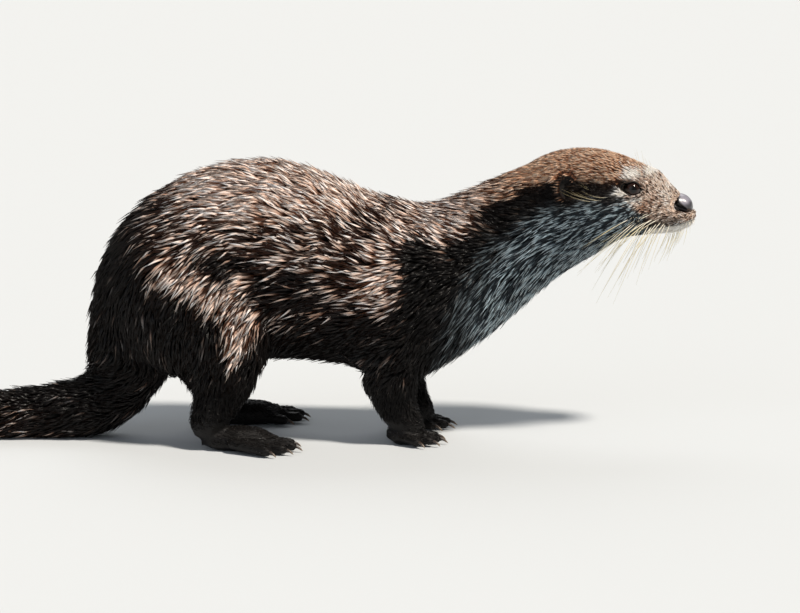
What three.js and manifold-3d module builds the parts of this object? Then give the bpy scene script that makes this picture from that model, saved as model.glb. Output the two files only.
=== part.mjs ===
// A river otter, Lutra lutra, life size: a still model that stands on all fours with its back
// arched, its neck stretched up and forward, and its tail laid on the ground behind it.
//
// Frame, in millimetres: +X towards the nose, +Y to the otter's left, +Z up, ground at z = 0, and
// the origin under the middle of the whole model. The solids are the outer shape of the coat.
//
// The flesh is a smooth field, negative inside: chains of ellipsoids for the trunk, head, tail and
// legs, filleted into each other. Rays from an axis inside the flesh find its outside, and thin
// cuts then part it into the pieces that a person would name.

import * as THREE from "three";
import { mergeVertices } from "three/addons/utils/BufferGeometryUtils.js";
import Module from "manifold-3d";

const wasm = await Module();
wasm.setup();

// ---------------------------------------------------------------- driving dimensions, mm

const CUT = 0.35; // free width of every cut between two pieces of flesh
const SEAT_GAP = 0.35; // air round an eye, ear or nose in its seat
const FAR = 3000; // longer than the otter, for the blocks that cut it

const SHOULDER_BLEND = 26; // fillet between shoulder and trunk
const HIP_BLEND = 18; // fillet between thigh, tail and trunk
const FACE_BLEND = 7; // fillet between the rounded forms of the face

const FORE_STANCE = 32; // middle of a forepaw from the plane of symmetry
const HIND_STANCE = 58; // middle of a hind foot from the plane of symmetry
const FORE_STAGGER = 9; // the left forepaw stands this far ahead of the right one
const HIND_STAGGER = 6; // and the left hind foot this far ahead of its own

const TAIL_LYING = 350; // length of the tail that lies on the ground
const TAIL_RADII = [27, 5.5]; // where it reaches the ground, and at its tip
const TAIL_SWEEP = 0.85; // radians that it turns to the otter's right along its length
const TAIL_FLAT = 1.3; // how far its underside is flattened on the ground

const EYE = { at: [190.6, 27.6, 231], radius: 8.2 };
const EAR = { at: [133, 46, 235.5], size: [10, 5.5, 11], wall: 2.2 };
const NOSE = { at: [237.4, 0, 213.4], size: [8.6, 12, 8.4] };
const NOSE_BAY = { ahead: 2, up: 0.4, size: [11, 30, 8.8] }; // where the muzzle gives way
const NOSTRIL = { at: [239, 10.8, 211.8], radius: 2.9 };

// Stations of a chain: middle (x, y, z), half depth in the plane of symmetry, half width.
const station = (x, y, z, depth, width = depth) => ({ x, y, z, depth, width });

// From the root of the tail over the arched back and up the neck.
const TRUNK = [
  station(-260, 0, 80, 35, 33), // root of the tail
  station(-249, 0, 110, 46, 42), // buttocks
  station(-222, 0, 140, 67, 54), // rump
  station(-184, 0, 160, 83, 63), // hips
  station(-137, 0, 163.3, 90.3, 67), // top of the arch
  station(-85, 0, 152, 80.8, 67), // ribs
  station(-42, 0, 142.8, 77.6, 64), // ribs behind the shoulders
  station(-2, 0, 139.5, 73.5, 58), // shoulders
  station(34, 0, 152.6, 64, 52), // breast
  station(68, 0, 173.8, 56.6, 48), // base of the neck
  station(104, 0, 196, 50.8, 45.5), // neck
  station(132, 0, 211, 44.5, 43), // nape
];

const HEAD = [
  station(126, 0, 209.5, 44.5, 43), // back of the skull
  station(156, 0, 218.4, 42.8, 44), // between the ears
  station(178, 0, 221, 37.4, 39.5), // cheeks
  station(196, 0, 217.5, 33.5, 31), // eyes
  station(211, 0, 215.5, 29.5, 25.5), // brow
  station(225, 0, 209.5, 22, 21), // bridge of the muzzle
  station(236, 0, 205, 14.6, 16), // upper lip
  station(243.5, 0, 202.8, 10.4, 12), // front of the lip
];
const HEAD_FLATTEN = 0.5; // length of each of the head's forms as a share of its depth

// Rounded forms of the face, on each side of the middle: place and half sizes.
const FACE_FORMS = [
  { at: [170, 22, 205.5], size: [27, 21, 20] }, // cheek
  { at: [199, 17, 240], size: [10, 7, 5.5] }, // brow ridge
  { at: [228, 10.5, 202.5], size: [14.5, 12.5, 10.5] }, // whisker pad
  { at: [220, 5, 197], size: [17, 10.5, 7.8] }, // chin
];
const MOUTH_CORNER = [205, 0, 192];
const MOUTH_SLOPE = 0.2; // rise of the line of the mouth towards the nose

// ---------------------------------------------------------------- the field of flesh

const v3 = (p) => new THREE.Vector3(...p);
const SIDES = { right: -1, left: 1 };
const sides = Object.values(SIDES);

// Ellipsoids spread evenly along a smooth chain through the stations.
function chain(stations, { perSpan = 6, flatten = 1 } = {}) {
  const curve = (points) => new THREE.CatmullRomCurve3(points, false, "catmullrom", 0.5);
  const middles = curve(stations.map((s) => v3([s.x, s.y, s.z])));
  const halves = curve(stations.map((s) => v3([s.depth, s.width, 0])));
  const count = (stations.length - 1) * perSpan;
  return Array.from({ length: count + 1 }, (_, i) => {
    const at = middles.getPoint(i / count);
    const half = halves.getPoint(i / count);
    return ellipsoid(at.toArray(), [half.x * flatten, half.y, half.x]);
  });
}

// One ellipsoid with its middle and its half sizes.
const ellipsoid = ([x, y, z], [a, b, c]) => ({ x, y, z, a, b, c });

// Distance to the nearest ellipsoid of a list, close to true near its skin, negative inside.
function nearest(list, p) {
  let best = Infinity;
  for (const e of list) {
    const u = (p.x - e.x) / e.a;
    const v = (p.y - e.y) / e.b;
    const w = (p.z - e.z) / e.c;
    const scaled = Math.sqrt(u * u + v * v + w * w);
    const slope = Math.sqrt((u / e.a) ** 2 + (v / e.b) ** 2 + (w / e.c) ** 2);
    const away = slope > 1e-9 ? (scaled * (scaled - 1)) / slope : -Math.min(e.a, e.b, e.c);
    if (away < best) best = away;
  }
  return best;
}

// Smooth union of two distances, filleted over the given width.
function blend(d1, d2, width) {
  const h = Math.max(width - Math.abs(d1 - d2), 0) / width;
  return Math.min(d1, d2) - (h * h * width) / 4;
}

// Down from the rump to the ground, then along it, turning slowly to the otter's right.
function tailStations() {
  const stations = [station(-258, 0, 82, 33, 32), station(-264, 0, 56, 30.5), station(-279, 0, 36, 29)];
  const steps = 10;
  let x = -305;
  let y = 0;
  for (let i = 0; i <= steps; i++) {
    const s = i / steps;
    const radius = THREE.MathUtils.lerp(...TAIL_RADII, s ** 0.85);
    stations.push(station(x, y, radius - TAIL_FLAT, radius, radius * 1.06));
    const heading = Math.PI + TAIL_SWEEP * s;
    x += (Math.cos(heading) * TAIL_LYING) / steps;
    y += (Math.sin(heading) * TAIL_LYING) / steps;
  }
  return stations;
}

const foreAhead = (side) => (side === SIDES.left ? FORE_STAGGER : 0);
const hindAhead = (side) => (side === SIDES.left ? HIND_STAGGER : 0);

const forelegStations = (side) => [
  station(2, side * 33, 124, 46, 25), // shoulder
  station(-18, side * 41, 90, 34, 22), // upper arm
  station(-26 + foreAhead(side) / 2, side * 40, 62, 26, 20), // elbow
  station(-22 + foreAhead(side), side * 36, 41, 20, 17.5), // forearm
  station(-14 + foreAhead(side), side * 33, 22, 16, 16), // wrist
  station(-8 + foreAhead(side), side * FORE_STANCE, 13, 14, 16), // palm
];

const hindlegStations = (side) => [
  station(-214, side * 35, 140, 58, 30), // hip
  station(-193, side * 46, 108, 55, 31), // thigh
  station(-168 + hindAhead(side) / 2, side * 54, 76, 31, 25), // knee
  station(-181 + hindAhead(side), side * 57, 48, 23, 19), // shank
  station(-189 + hindAhead(side), side * HIND_STANCE, 24, 17, 16), // heel
];

// How much of a leg or of the tail also shapes the trunk.
const UPPER_SHARE = { fore: 0.32, hind: 0.42, tail: 0.2 };
const upper = (list, kind) => list.slice(0, Math.round(list.length * UPPER_SHARE[kind]));

const tail = chain(tailStations());
const trunkForms = chain(TRUNK);
const headForms = chain(HEAD, { perSpan: 8, flatten: HEAD_FLATTEN });
const faceForms = FACE_FORMS.map(({ at: [x, y, z], size }) =>
  sides.map((side) => ellipsoid([x, side * y, z], size)),
);
const forelegs = new Map(sides.map((side) => [side, chain(forelegStations(side))]));
const hindlegs = new Map(sides.map((side) => [side, chain(hindlegStations(side))]));

// Head and trunk, with the masses of the shoulders and thighs on them.
function bodyField(p) {
  let face = nearest(headForms, p);
  if (p.x > 120) for (const pair of faceForms) face = blend(face, nearest(pair, p), FACE_BLEND);
  let d = blend(nearest(trunkForms, p), face, SHOULDER_BLEND);
  for (const side of sides) {
    d = blend(d, nearest(upper(forelegs.get(side), "fore"), p), SHOULDER_BLEND);
    d = blend(d, nearest(upper(hindlegs.get(side), "hind"), p), HIP_BLEND);
  }
  return blend(d, nearest(upper(tail, "tail"), p), HIP_BLEND);
}

// ---------------------------------------------------------------- from the field to solids

// Distance along a ray from inside the flesh to its outside, at most the given reach.
function depthAlong(field, from, way, reach) {
  const p = new THREE.Vector3();
  const fieldAt = (r) => field(p.copy(from).addScaledVector(way, r));
  let inside = 0;
  let outside = 0;
  for (let d = fieldAt(0); d < 0 && outside < reach; d = fieldAt(outside)) {
    inside = outside;
    outside = Math.min(inside + Math.max(-d * 0.8, 1), reach);
  }
  for (let i = 0; i < 14; i++) {
    const middle = (inside + outside) / 2;
    if (fieldAt(middle) > 0) outside = middle;
    else inside = middle;
  }
  return (inside + outside) / 2;
}

// Rings of rays round an axis that lies in the flesh, closed by a fan of rays at each end. The
// spans give, for each stretch of the axis, the share of its length where it ends and its rings.
function castFlesh(field, axis, { around, spans, caps, reach = 130 }) {
  const shares = [0];
  for (const [end, rings] of spans) {
    const start = shares.at(-1);
    for (let i = 1; i <= rings; i++) shares.push(THREE.MathUtils.lerp(start, end, i / rings));
  }
  const hit = (from, way) => from.clone().addScaledVector(way, depthAlong(field, from, way, reach));
  const ring = (share, lean) => {
    const from = axis.getPointAt(share);
    const along = axis.getTangentAt(share);
    const across = new THREE.Vector3().crossVectors(new THREE.Vector3(0, 1, 0), along).normalize();
    const aside = new THREE.Vector3().crossVectors(along, across);
    return Array.from({ length: around }, (_, j) => {
      const turn = (j / around) * 2 * Math.PI;
      const way = new THREE.Vector3()
        .addScaledVector(across, Math.cos(turn) * Math.cos(lean))
        .addScaledVector(aside, Math.sin(turn) * Math.cos(lean))
        .addScaledVector(along, Math.sin(lean));
      return hit(from, way);
    });
  };
  const leans = Array.from({ length: caps }, (_, k) => ((k + 1) / (caps + 1)) * (Math.PI / 2));
  const rings = [
    ...leans.toReversed().map((lean) => ring(0, -lean)),
    ...shares.map((share) => ring(share, 0)),
    ...leans.map((lean) => ring(1, lean)),
  ];
  return closedTube(rings, [
    hit(axis.getPointAt(0), axis.getTangentAt(0).negate()),
    hit(axis.getPointAt(1), axis.getTangentAt(1)),
  ]);
}

// A closed surface through rings of points, with one point at each end.
function closedTube(rings, poles) {
  const around = rings[0].length;
  const points = [...rings.flat(), ...poles];
  const [first, last] = [points.length - 2, points.length - 1];
  const end = (rings.length - 1) * around;
  const faces = [];
  for (let j = 0; j < around; j++) {
    const next = (j + 1) % around;
    faces.push(first, next, j, end + j, end + next, last);
    for (let a = 0; a < end; a += around) {
      const b = a + around;
      faces.push(a + j, a + next, b + next, a + j, b + next, b + j);
    }
  }
  return new THREE.BufferGeometry().setFromPoints(points).setIndex(faces);
}

// A round tube that tapers along a curve through the given points, with rounded ends.
function taper(points, radiusAt, { around, rings }) {
  const axis = new THREE.CatmullRomCurve3(points.map(v3));
  const circle = (share, radius, ahead) => {
    const along = axis.getTangentAt(share);
    const middle = axis.getPointAt(share).addScaledVector(along, ahead);
    const across = new THREE.Vector3().crossVectors(new THREE.Vector3(0, 0, 1), along).normalize();
    const aside = new THREE.Vector3().crossVectors(along, across);
    return Array.from({ length: around }, (_, j) => {
      const turn = (j / around) * 2 * Math.PI;
      return middle
        .clone()
        .addScaledVector(across, Math.cos(turn) * radius)
        .addScaledVector(aside, Math.sin(turn) * radius);
    });
  };
  const [r0, r1] = [radiusAt(0), radiusAt(1)];
  const circles = [
    circle(0, r0 * 0.7, -r0 * 0.7),
    ...Array.from({ length: rings }, (_, i) => circle(i / (rings - 1), radiusAt(i / (rings - 1)), 0)),
    circle(1, r1 * 0.7, r1 * 0.7),
  ];
  const tip = (share, ahead) =>
    axis.getPointAt(share).addScaledVector(axis.getTangentAt(share), ahead);
  return solid(closedTube(circles, [tip(0, -r0), tip(1, r1)]));
}

// A geometry as a solid that can be joined and cut.
function solid(geometry) {
  const bare = geometry.clone();
  bare.deleteAttribute("normal");
  bare.deleteAttribute("uv");
  const merged = mergeVertices(bare, 1e-4);
  return new wasm.Manifold(
    new wasm.Mesh({
      numProp: 3,
      vertProperties: new Float32Array(merged.attributes.position.array),
      triVerts: new Uint32Array(merged.index.array),
    }),
  );
}

// A solid as a geometry.
function geometryOf(made) {
  const mesh = made.getMesh();
  const positions = new Float32Array(mesh.numVert * 3);
  for (let i = 0; i < mesh.numVert; i++) {
    positions.set(mesh.vertProperties.subarray(i * mesh.numProp, i * mesh.numProp + 3), i * 3);
  }
  const geometry = new THREE.BufferGeometry();
  geometry.setAttribute("position", new THREE.BufferAttribute(positions, 3));
  geometry.setIndex(new THREE.BufferAttribute(mesh.triVerts, 1));
  geometry.computeVertexNormals();
  return geometry;
}

// Everything on the side of a plane that its normal points to, from a distance past the plane.
function beyond({ at, normal }, past = 0) {
  const way = v3(normal).normalize();
  const block = new THREE.BoxGeometry(FAR, FAR, FAR).translate(0, 0, FAR / 2 + past);
  block.applyQuaternion(new THREE.Quaternion().setFromUnitVectors(new THREE.Vector3(0, 0, 1), way));
  return solid(block.translate(...at));
}

// The largest body of a solid, with no hollow inside it.
const mainBody = (made) =>
  made.decompose().reduce((best, body) => (body.volume() > best.volume() ? body : best));

// Parts a solid in two with a thin cut: what lies behind the plane and what lies beyond it.
const part = (made, plane) => [
  made.subtract(beyond(plane, -CUT / 2)),
  made.intersect(beyond(plane, CUT / 2)),
];

const above = (level) => ({ at: [0, 0, level], normal: [0, 0, 1] });
const onGround = (made) => made.intersect(beyond(above(0)));

// A ball with its middle and half sizes.
function ball([x, y, z], [a, b, c], around = 10, rings = 6) {
  const shape = new THREE.SphereGeometry(1, around, rings).rotateX(Math.PI / 2);
  return solid(shape.scale(a, b, c).translate(x, y, z));
}

const sided = ([x, y, z], side) => [x, side * y, z];
const grown = (size, by) => size.map((half) => half + by);

// ---------------------------------------------------------------- trunk, neck and head

const AXIS = [
  [-222, 128],
  [-184, 148],
  [-137, 154],
  [-85, 149],
  [-42, 142],
  [0, 140],
  [34, 152],
  [68, 174],
  [104, 194],
  [134, 206],
  [165, 212],
  [200, 212],
  [232, 207.5],
];
const BODY_SPANS = [
  [0.5, 10], // rump to shoulders
  [0.76, 5], // neck
  [1, 11], // head
];

// Where the trunk is cut, from the tail to the nose: a point and the way ahead.
const BODY_CUTS = {
  tail: { at: [-262, 0, 72], normal: [0.3, 0, 0.95] },
  rump: { at: [-178, 0, 160], normal: [1, 0, 0] },
  loin: { at: [-70, 0, 150], normal: [1, 0, 0] },
  chest: { at: [40, 0, 157], normal: [0.85, 0, 0.53] },
  neck: { at: [117, 0, 202], normal: [0.93, 0, 0.37] },
};

// Blocks that part each upper leg from the trunk, on the otter's left: the middle of the top of
// the block, how it leans forwards, its length, where its inner wall starts and how that wall tucks
// in under the trunk.
const LIMB_BLOCKS = {
  fore: { top: [-8, 125], lean: -0.15, length: 72, inner: 36, tuck: 0.3 },
  hind: { top: [-214, 158], lean: 0.35, length: 100, inner: 40, tuck: 0.2 },
};
const SLIM_TOP = 0.86; // size of a leg's flesh inside the trunk, as a share of its full size
const LIMB_LEVELS = { fore: [60, 25], hind: [66, 30] }; // the cuts at elbow or knee, and at the foot

// The block of one leg, grown by a margin on every side.
function limbBlock(kind, side, margin) {
  const { top, lean, length, inner, tuck } = LIMB_BLOCKS[kind];
  const shape = new THREE.BoxGeometry(length + 2 * margin, 120 + 2 * margin, 200 + 2 * margin);
  shape.translate(0, side * 60, -100).rotateX(-side * tuck).rotateY(-lean);
  return solid(shape.translate(top[0], side * inner, top[1]));
}

const bodyWhole = solid(
  castFlesh(bodyField, new THREE.CatmullRomCurve3(AXIS.map(([x, z]) => v3([x, 0, z]))), {
    around: 22,
    spans: BODY_SPANS,
    caps: 5,
  }),
);

let [, rest] = part(bodyWhole, BODY_CUTS.tail);
let rump, loin, chest, neck, head;
[rump, rest] = part(rest, BODY_CUTS.rump);
[loin, rest] = part(rest, BODY_CUTS.loin);
[chest, rest] = part(rest, BODY_CUTS.chest);
[neck, head] = part(rest, BODY_CUTS.neck);
for (const side of sides) {
  rump = rump.subtract(limbBlock("hind", side, CUT));
  loin = loin.subtract(limbBlock("hind", side, CUT));
  chest = chest.subtract(limbBlock("fore", side, CUT));
}

// The lower jaw, parted from the head along the closed mouth and behind its corner.
const mouthPlane = { at: MOUTH_CORNER, normal: [MOUTH_SLOPE, 0, -1] };
const jawBlock = (past) =>
  beyond(mouthPlane, past).intersect(beyond({ at: MOUTH_CORNER, normal: [1, 0, 0] }, past));
const jaw = head.intersect(jawBlock(CUT / 2));
head = head.subtract(jawBlock(-CUT / 2));

for (const side of sides) {
  head = head.subtract(ball(sided(EYE.at, side), Array(3).fill(EYE.radius + SEAT_GAP), 12, 8));
  head = head.subtract(ball(sided(EAR.at, side), grown(EAR.size, SEAT_GAP)));
}
head = head.subtract(ball(NOSE.at, grown(NOSE.size, SEAT_GAP), 12, 8));
head = head.subtract(
  ball([NOSE.at[0] + NOSE_BAY.ahead, 0, NOSE.at[2] + NOSE_BAY.up], NOSE_BAY.size, 12, 8),
);

// A shallow cup that opens outwards and a little forwards.
function ear(side) {
  const [x, y, z] = EAR.at;
  const hollow = ball(sided([x + 2, y + EAR.size[1] * 0.9, z], side), grown(EAR.size, -EAR.wall));
  return ball(sided(EAR.at, side), EAR.size).subtract(hollow);
}

function noseLeather() {
  let made = ball(NOSE.at, NOSE.size, 12, 8);
  for (const side of sides) {
    const { at, radius } = NOSTRIL;
    made = made.subtract(ball(sided(at, side), [radius * 2, radius, radius * 1.2], 6, 4));
  }
  return made;
}

// ---------------------------------------------------------------- tail

const tailAxis = new THREE.CatmullRomCurve3([
  ...tailStations().map((s) => v3([s.x, s.y, s.z])),
]);
const tailField = (p) => blend(nearest(trunkForms, p), nearest(tail, p), HIP_BLEND);
const tailRays = { around: 12, spans: [[0.35, 7], [1, 8]], caps: 2 };
const tailWhole = onGround(solid(castFlesh(tailField, tailAxis, tailRays)));

// A cut square across the tail at a share of its axis.
const tailCut = (share) => ({
  at: tailAxis.getPointAt(share).toArray(),
  normal: tailAxis.getTangentAt(share).toArray(),
});
const TAIL_CUTS = [0.38, 0.68];
const [tailFree] = part(tailWhole, BODY_CUTS.tail);
const [tailRoot, tailLying] = part(tailFree, tailCut(TAIL_CUTS[0]));
const [tailMiddle, tailTip] = part(tailLying, tailCut(TAIL_CUTS[1]));

// ---------------------------------------------------------------- legs

// One leg from its second station down, as a solid, slimmer at the top where it lies in the trunk.
function leg(forms, stations) {
  const axis = new THREE.CatmullRomCurve3(stations.slice(1).map((s) => v3([s.x, s.y, s.z])));
  const span = Math.round(forms.length / (stations.length - 1));
  const free = forms.slice(span).map(({ x, y, z, a, b, c }, i) => {
    const slim = THREE.MathUtils.lerp(SLIM_TOP, 1, Math.min(i / span, 1));
    return { x, y, z, a: a * slim, b: b * slim, c: c * slim };
  });
  const rays = { around: 10, spans: [[1, 5]], caps: 2 };
  return solid(castFlesh((p) => nearest(free, p), axis, rays));
}

// Upper leg, lower leg and the flesh inside the foot, from the top down.
function legPieces(kind, side) {
  const stations = (kind === "fore" ? forelegStations : hindlegStations)(side);
  const forms = (kind === "fore" ? forelegs : hindlegs).get(side);
  const [kneeLevel, footLevel] = LIMB_LEVELS[kind];
  const whole = leg(forms, stations);
  const [, upperLeg] = part(whole.add(bodyWhole), above(kneeLevel));
  const [belowKnee] = part(whole, above(kneeLevel));
  const [foot, lower] = part(belowKnee, above(footLevel));
  return { upper: upperLeg.intersect(limbBlock(kind, side, 0)), lower, foot };
}

// ---------------------------------------------------------------- paws

// Toes fan out from the sole: the angle of each from straight ahead, in degrees outwards, and how
// far its tip stands from the heel of the fan.
const FOREPAW = {
  heel: [-20, 0],
  toes: [
    { turn: -30, reach: 38 },
    { turn: -14, reach: 47 },
    { turn: 3, reach: 49 },
    { turn: 20, reach: 46 },
    { turn: 37, reach: 38 },
  ],
  radius: 5.3,
  pad: { ahead: 16, size: [19, 18, 11] },
  webShare: 0.8,
  toeOut: 5,
};
const HINDPAW = {
  heel: [-10, 0],
  toes: [
    { turn: -20, reach: 76 },
    { turn: -9, reach: 89 },
    { turn: 2, reach: 92 },
    { turn: 13, reach: 88 },
    { turn: 25, reach: 79 },
  ],
  radius: 5.8,
  pad: { ahead: 34, size: [36, 19, 13] },
  webShare: 0.9,
  toeOut: 8,
};
const CLAW = { length: 9, radius: 1.7, droop: 0.35 };
const WEB = { level: 3.2, thick: 2.6 };

// A point of the fan at a turn and reach, at a height above the ground.
function fanPoint({ heel, toeOut }, turn, reach, height) {
  const angle = THREE.MathUtils.degToRad(turn + toeOut);
  return [heel[0] + Math.cos(angle) * reach, heel[1] + Math.sin(angle) * reach, height];
}

// One toe, arched over its knuckle, with its claw.
function toe(paw, { turn, reach }) {
  const at = (share, height) => fanPoint(paw, turn, reach * share, height);
  const path = [at(0.45, 8.5), at(0.72, 8.6), at(0.9, 5.4)];
  const flesh = taper(path, (s) => paw.radius * (1 - 0.1 * s), { around: 6, rings: 2 });
  const tip = reach * 0.9 + paw.radius * 0.6;
  const claw = new THREE.ConeGeometry(CLAW.radius, CLAW.length, 4).rotateZ(-Math.PI / 2);
  claw.rotateY(CLAW.droop).rotateZ(THREE.MathUtils.degToRad(turn + paw.toeOut));
  return flesh.add(solid(claw.translate(...fanPoint(paw, turn, tip + CLAW.length * 0.3, 4.8))));
}

// The web between the toes: a thin fan with a scalloped edge.
function web(paw) {
  const shape = new THREE.Shape();
  const flat = (turn, reach) => fanPoint(paw, turn, reach, 0).slice(0, 2);
  shape.moveTo(...flat(0, 0));
  paw.toes.forEach(({ turn, reach }, i) => {
    const tip = flat(turn, reach * paw.webShare);
    if (i === 0) return shape.lineTo(...tip);
    const before = paw.toes[i - 1];
    const dip = flat((turn + before.turn) / 2, Math.min(reach, before.reach) * (paw.webShare - 0.12));
    return shape.quadraticCurveTo(...dip, ...tip);
  });
  const plate = new THREE.ExtrudeGeometry(shape, {
    depth: WEB.thick,
    bevelEnabled: false,
    curveSegments: 2,
  });
  return solid(plate.translate(0, 0, WEB.level));
}

// A whole paw on the ground, ahead of and outside the given place.
function paw(shape, [x, y], side, flesh) {
  const { pad } = shape;
  let made = ball([shape.heel[0] + pad.ahead, 0, 9], pad.size, 8, 5).add(web(shape));
  for (const one of shape.toes) made = made.add(toe(shape, one));
  if (side === SIDES.right) made = made.mirror([0, 1, 0]);
  return onGround(made.translate([x, y, 0]).add(flesh));
}

// ---------------------------------------------------------------- the whole otter

const COAT = { color: "#4b3628", roughness: 0.62, metalness: 0 };
const THROAT = { color: "#7d6a58", roughness: 0.65, metalness: 0 };
const SKIN = { color: "#2c221d", roughness: 0.5, metalness: 0 };
const LEATHER = { color: "#1d1b1c", roughness: 0.35, metalness: 0 };
const EYEBALL = { color: "#140d0a", roughness: 0.08, metalness: 0 };

const pieces = new Map();
const piece = (name, made, finish) => pieces.set(name, { made: mainBody(made), finish });

piece("head", head, COAT);
piece("lower_jaw", jaw, THROAT);
piece("nose", noseLeather(), LEATHER);
piece("neck", neck, COAT);
piece("chest", chest, COAT);
piece("loin", loin, COAT);
piece("rump", rump, COAT);
piece("tail_root", tailRoot, COAT);
piece("tail_middle", tailMiddle, COAT);
piece("tail_tip", tailTip, COAT);
for (const [word, side] of Object.entries(SIDES)) {
  piece(`eye_${word}`, ball(sided(EYE.at, side), Array(3).fill(EYE.radius), 12, 8), EYEBALL);
  piece(`ear_${word}`, ear(side), SKIN);
  const fore = legPieces("fore", side);
  piece(`upper_arm_${word}`, fore.upper, COAT);
  piece(`forearm_${word}`, fore.lower, COAT);
  const forePlace = [-8 + foreAhead(side), side * FORE_STANCE];
  piece(`forepaw_${word}`, paw(FOREPAW, forePlace, side, fore.foot), SKIN);
  const hind = legPieces("hind", side);
  piece(`thigh_${word}`, hind.upper, COAT);
  piece(`shank_${word}`, hind.lower, COAT);
  const hindPlace = [-186 + hindAhead(side), side * HIND_STANCE];
  piece(`hind_foot_${word}`, paw(HINDPAW, hindPlace, side, hind.foot), SKIN);
}

const otter = new THREE.Group();
for (const [name, { made, finish }] of pieces) {
  const mesh = new THREE.Mesh(geometryOf(made), new THREE.MeshStandardMaterial(finish));
  mesh.name = name;
  otter.add(mesh);
}
const middle = new THREE.Box3().setFromObject(otter).getCenter(new THREE.Vector3());
for (const mesh of otter.children) mesh.geometry.translate(-middle.x, -middle.y, 0);

export default otter;
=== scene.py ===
"""A river otter, life size, wet from the water: skin, coat in pointed locks, face, paws and whiskers.

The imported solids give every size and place. One smooth skin is drawn over all the pieces of flesh
and sunk by the depth of the coat. Locks of wet guard hair then grow from it along the lie of the
coat, out to the surface of the solids. Eyes, lids, ears, nose, whiskers and claws are pieces of
their own. Lengths are in metres, and a field whose name ends in _mm is in millimetres.
"""

import logging
import math
from collections.abc import Callable
from dataclasses import dataclass, field
from enum import Enum

import bmesh
import bpy
import numpy as np
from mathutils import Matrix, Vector
from mathutils.bvhtree import BVHTree


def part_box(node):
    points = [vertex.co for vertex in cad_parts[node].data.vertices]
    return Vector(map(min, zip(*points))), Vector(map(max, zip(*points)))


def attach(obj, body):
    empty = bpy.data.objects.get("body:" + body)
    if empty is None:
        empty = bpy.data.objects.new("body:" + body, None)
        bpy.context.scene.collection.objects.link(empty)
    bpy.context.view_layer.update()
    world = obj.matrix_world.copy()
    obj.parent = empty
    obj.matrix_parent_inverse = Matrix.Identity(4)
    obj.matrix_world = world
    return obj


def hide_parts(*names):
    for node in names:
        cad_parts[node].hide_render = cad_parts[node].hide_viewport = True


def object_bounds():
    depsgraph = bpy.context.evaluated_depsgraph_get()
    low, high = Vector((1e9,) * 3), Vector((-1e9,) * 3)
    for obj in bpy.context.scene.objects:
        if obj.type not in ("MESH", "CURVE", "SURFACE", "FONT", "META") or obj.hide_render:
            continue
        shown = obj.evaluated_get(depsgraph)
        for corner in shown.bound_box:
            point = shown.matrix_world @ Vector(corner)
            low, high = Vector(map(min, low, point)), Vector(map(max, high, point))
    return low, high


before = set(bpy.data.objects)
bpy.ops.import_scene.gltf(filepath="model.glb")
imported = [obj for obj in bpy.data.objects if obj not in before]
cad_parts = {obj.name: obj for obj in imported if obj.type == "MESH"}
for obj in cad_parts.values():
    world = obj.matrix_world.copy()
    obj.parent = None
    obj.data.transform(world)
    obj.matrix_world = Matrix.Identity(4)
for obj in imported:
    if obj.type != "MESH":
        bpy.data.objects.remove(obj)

Array = np.ndarray
Pair = tuple[float, float]
Triple = tuple[float, float, float]
Material = bpy.types.Material
Socket = bpy.types.NodeSocket
Colour = tuple[float, float, float, float]
Stops = tuple[tuple[float, str], ...]

LOG = logging.getLogger("otter")
MM = 0.001
SIDES = {"right": -1.0, "left": 1.0}
FIRST_BOUNDS = [list(corner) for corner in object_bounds()]


# ---- small tools


def linear(hex_colour: str) -> Colour:
    """Turns an sRGB colour such as "#8a624c" into linear red, green and blue with an alpha of one."""
    parts = [int(hex_colour[i : i + 2], 16) / 255 for i in (1, 3, 5)]
    return (*(c / 12.92 if c <= 0.04045 else ((c + 0.055) / 1.055) ** 2.4 for c in parts), 1.0)


def unit(vectors: Array) -> Array:
    """Scales vectors, which lie along the last axis, to length one."""
    return vectors / np.maximum(np.linalg.norm(vectors, axis=-1, keepdims=True), 1e-12)


def smoothstep(low: float, high: float, values: Array) -> Array:
    """Rises smoothly from nought at low to one at high, or falls if high is the lesser."""
    t = np.clip((values - low) / (high - low), 0, 1)
    return t * t * (3 - 2 * t)


def bell(values: Array, middle: float, half: float | Array) -> Array:
    """A bell of height one round a middle, down to about a third at a half width from it."""
    return np.exp(-(((values - middle) / half) ** 2))


def flat_to(vectors: Array, normals: Array) -> Array:
    """Lays directions down on a surface with these unit normals, as unit vectors."""
    return unit(vectors - normals * np.sum(vectors * normals, axis=-1, keepdims=True))


def axes_from(out: Array, ahead: Array) -> Array:
    """Works out the axes of a part of the face.

    Args:
        out: The way that it faces.
        ahead: The way along it, not yet square to that.

    Returns:
        Unit vectors out, ahead and up, one row each.
    """
    out = unit(out)
    ahead = flat_to(ahead, out)
    up = np.cross(out, ahead)
    return np.stack([out, ahead, up * np.sign(up[2])])


def centre(node: str) -> Array:
    """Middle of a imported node's box, in metres."""
    low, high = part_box(node)
    return (np.array(low) + np.array(high)) / 2


def from_ears(points: Array) -> Array:
    """Distance of each point from the middle of the nearer ear."""
    return np.min([np.linalg.norm(points - centre(f"ear_{s}"), axis=1) for s in SIDES], axis=0)


def waves(points: Array, length: float, seed: int) -> Array:
    """A smooth random field made of plane waves.

    Args:
        points: Where to read it.
        length: Its typical wavelength.
        seed: Picks the field.

    Returns:
        Values that mostly lie between minus one and one.
    """
    rng = np.random.default_rng(seed)
    ways = unit(rng.normal(size=(9, 3))) * (2 * math.pi / length)
    ways *= rng.uniform(0.7, 1.4, (9, 1))
    phases = rng.uniform(0, 2 * math.pi, 9)
    return np.sin(points @ ways.T + phases).sum(axis=1) / 3.2


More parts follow.
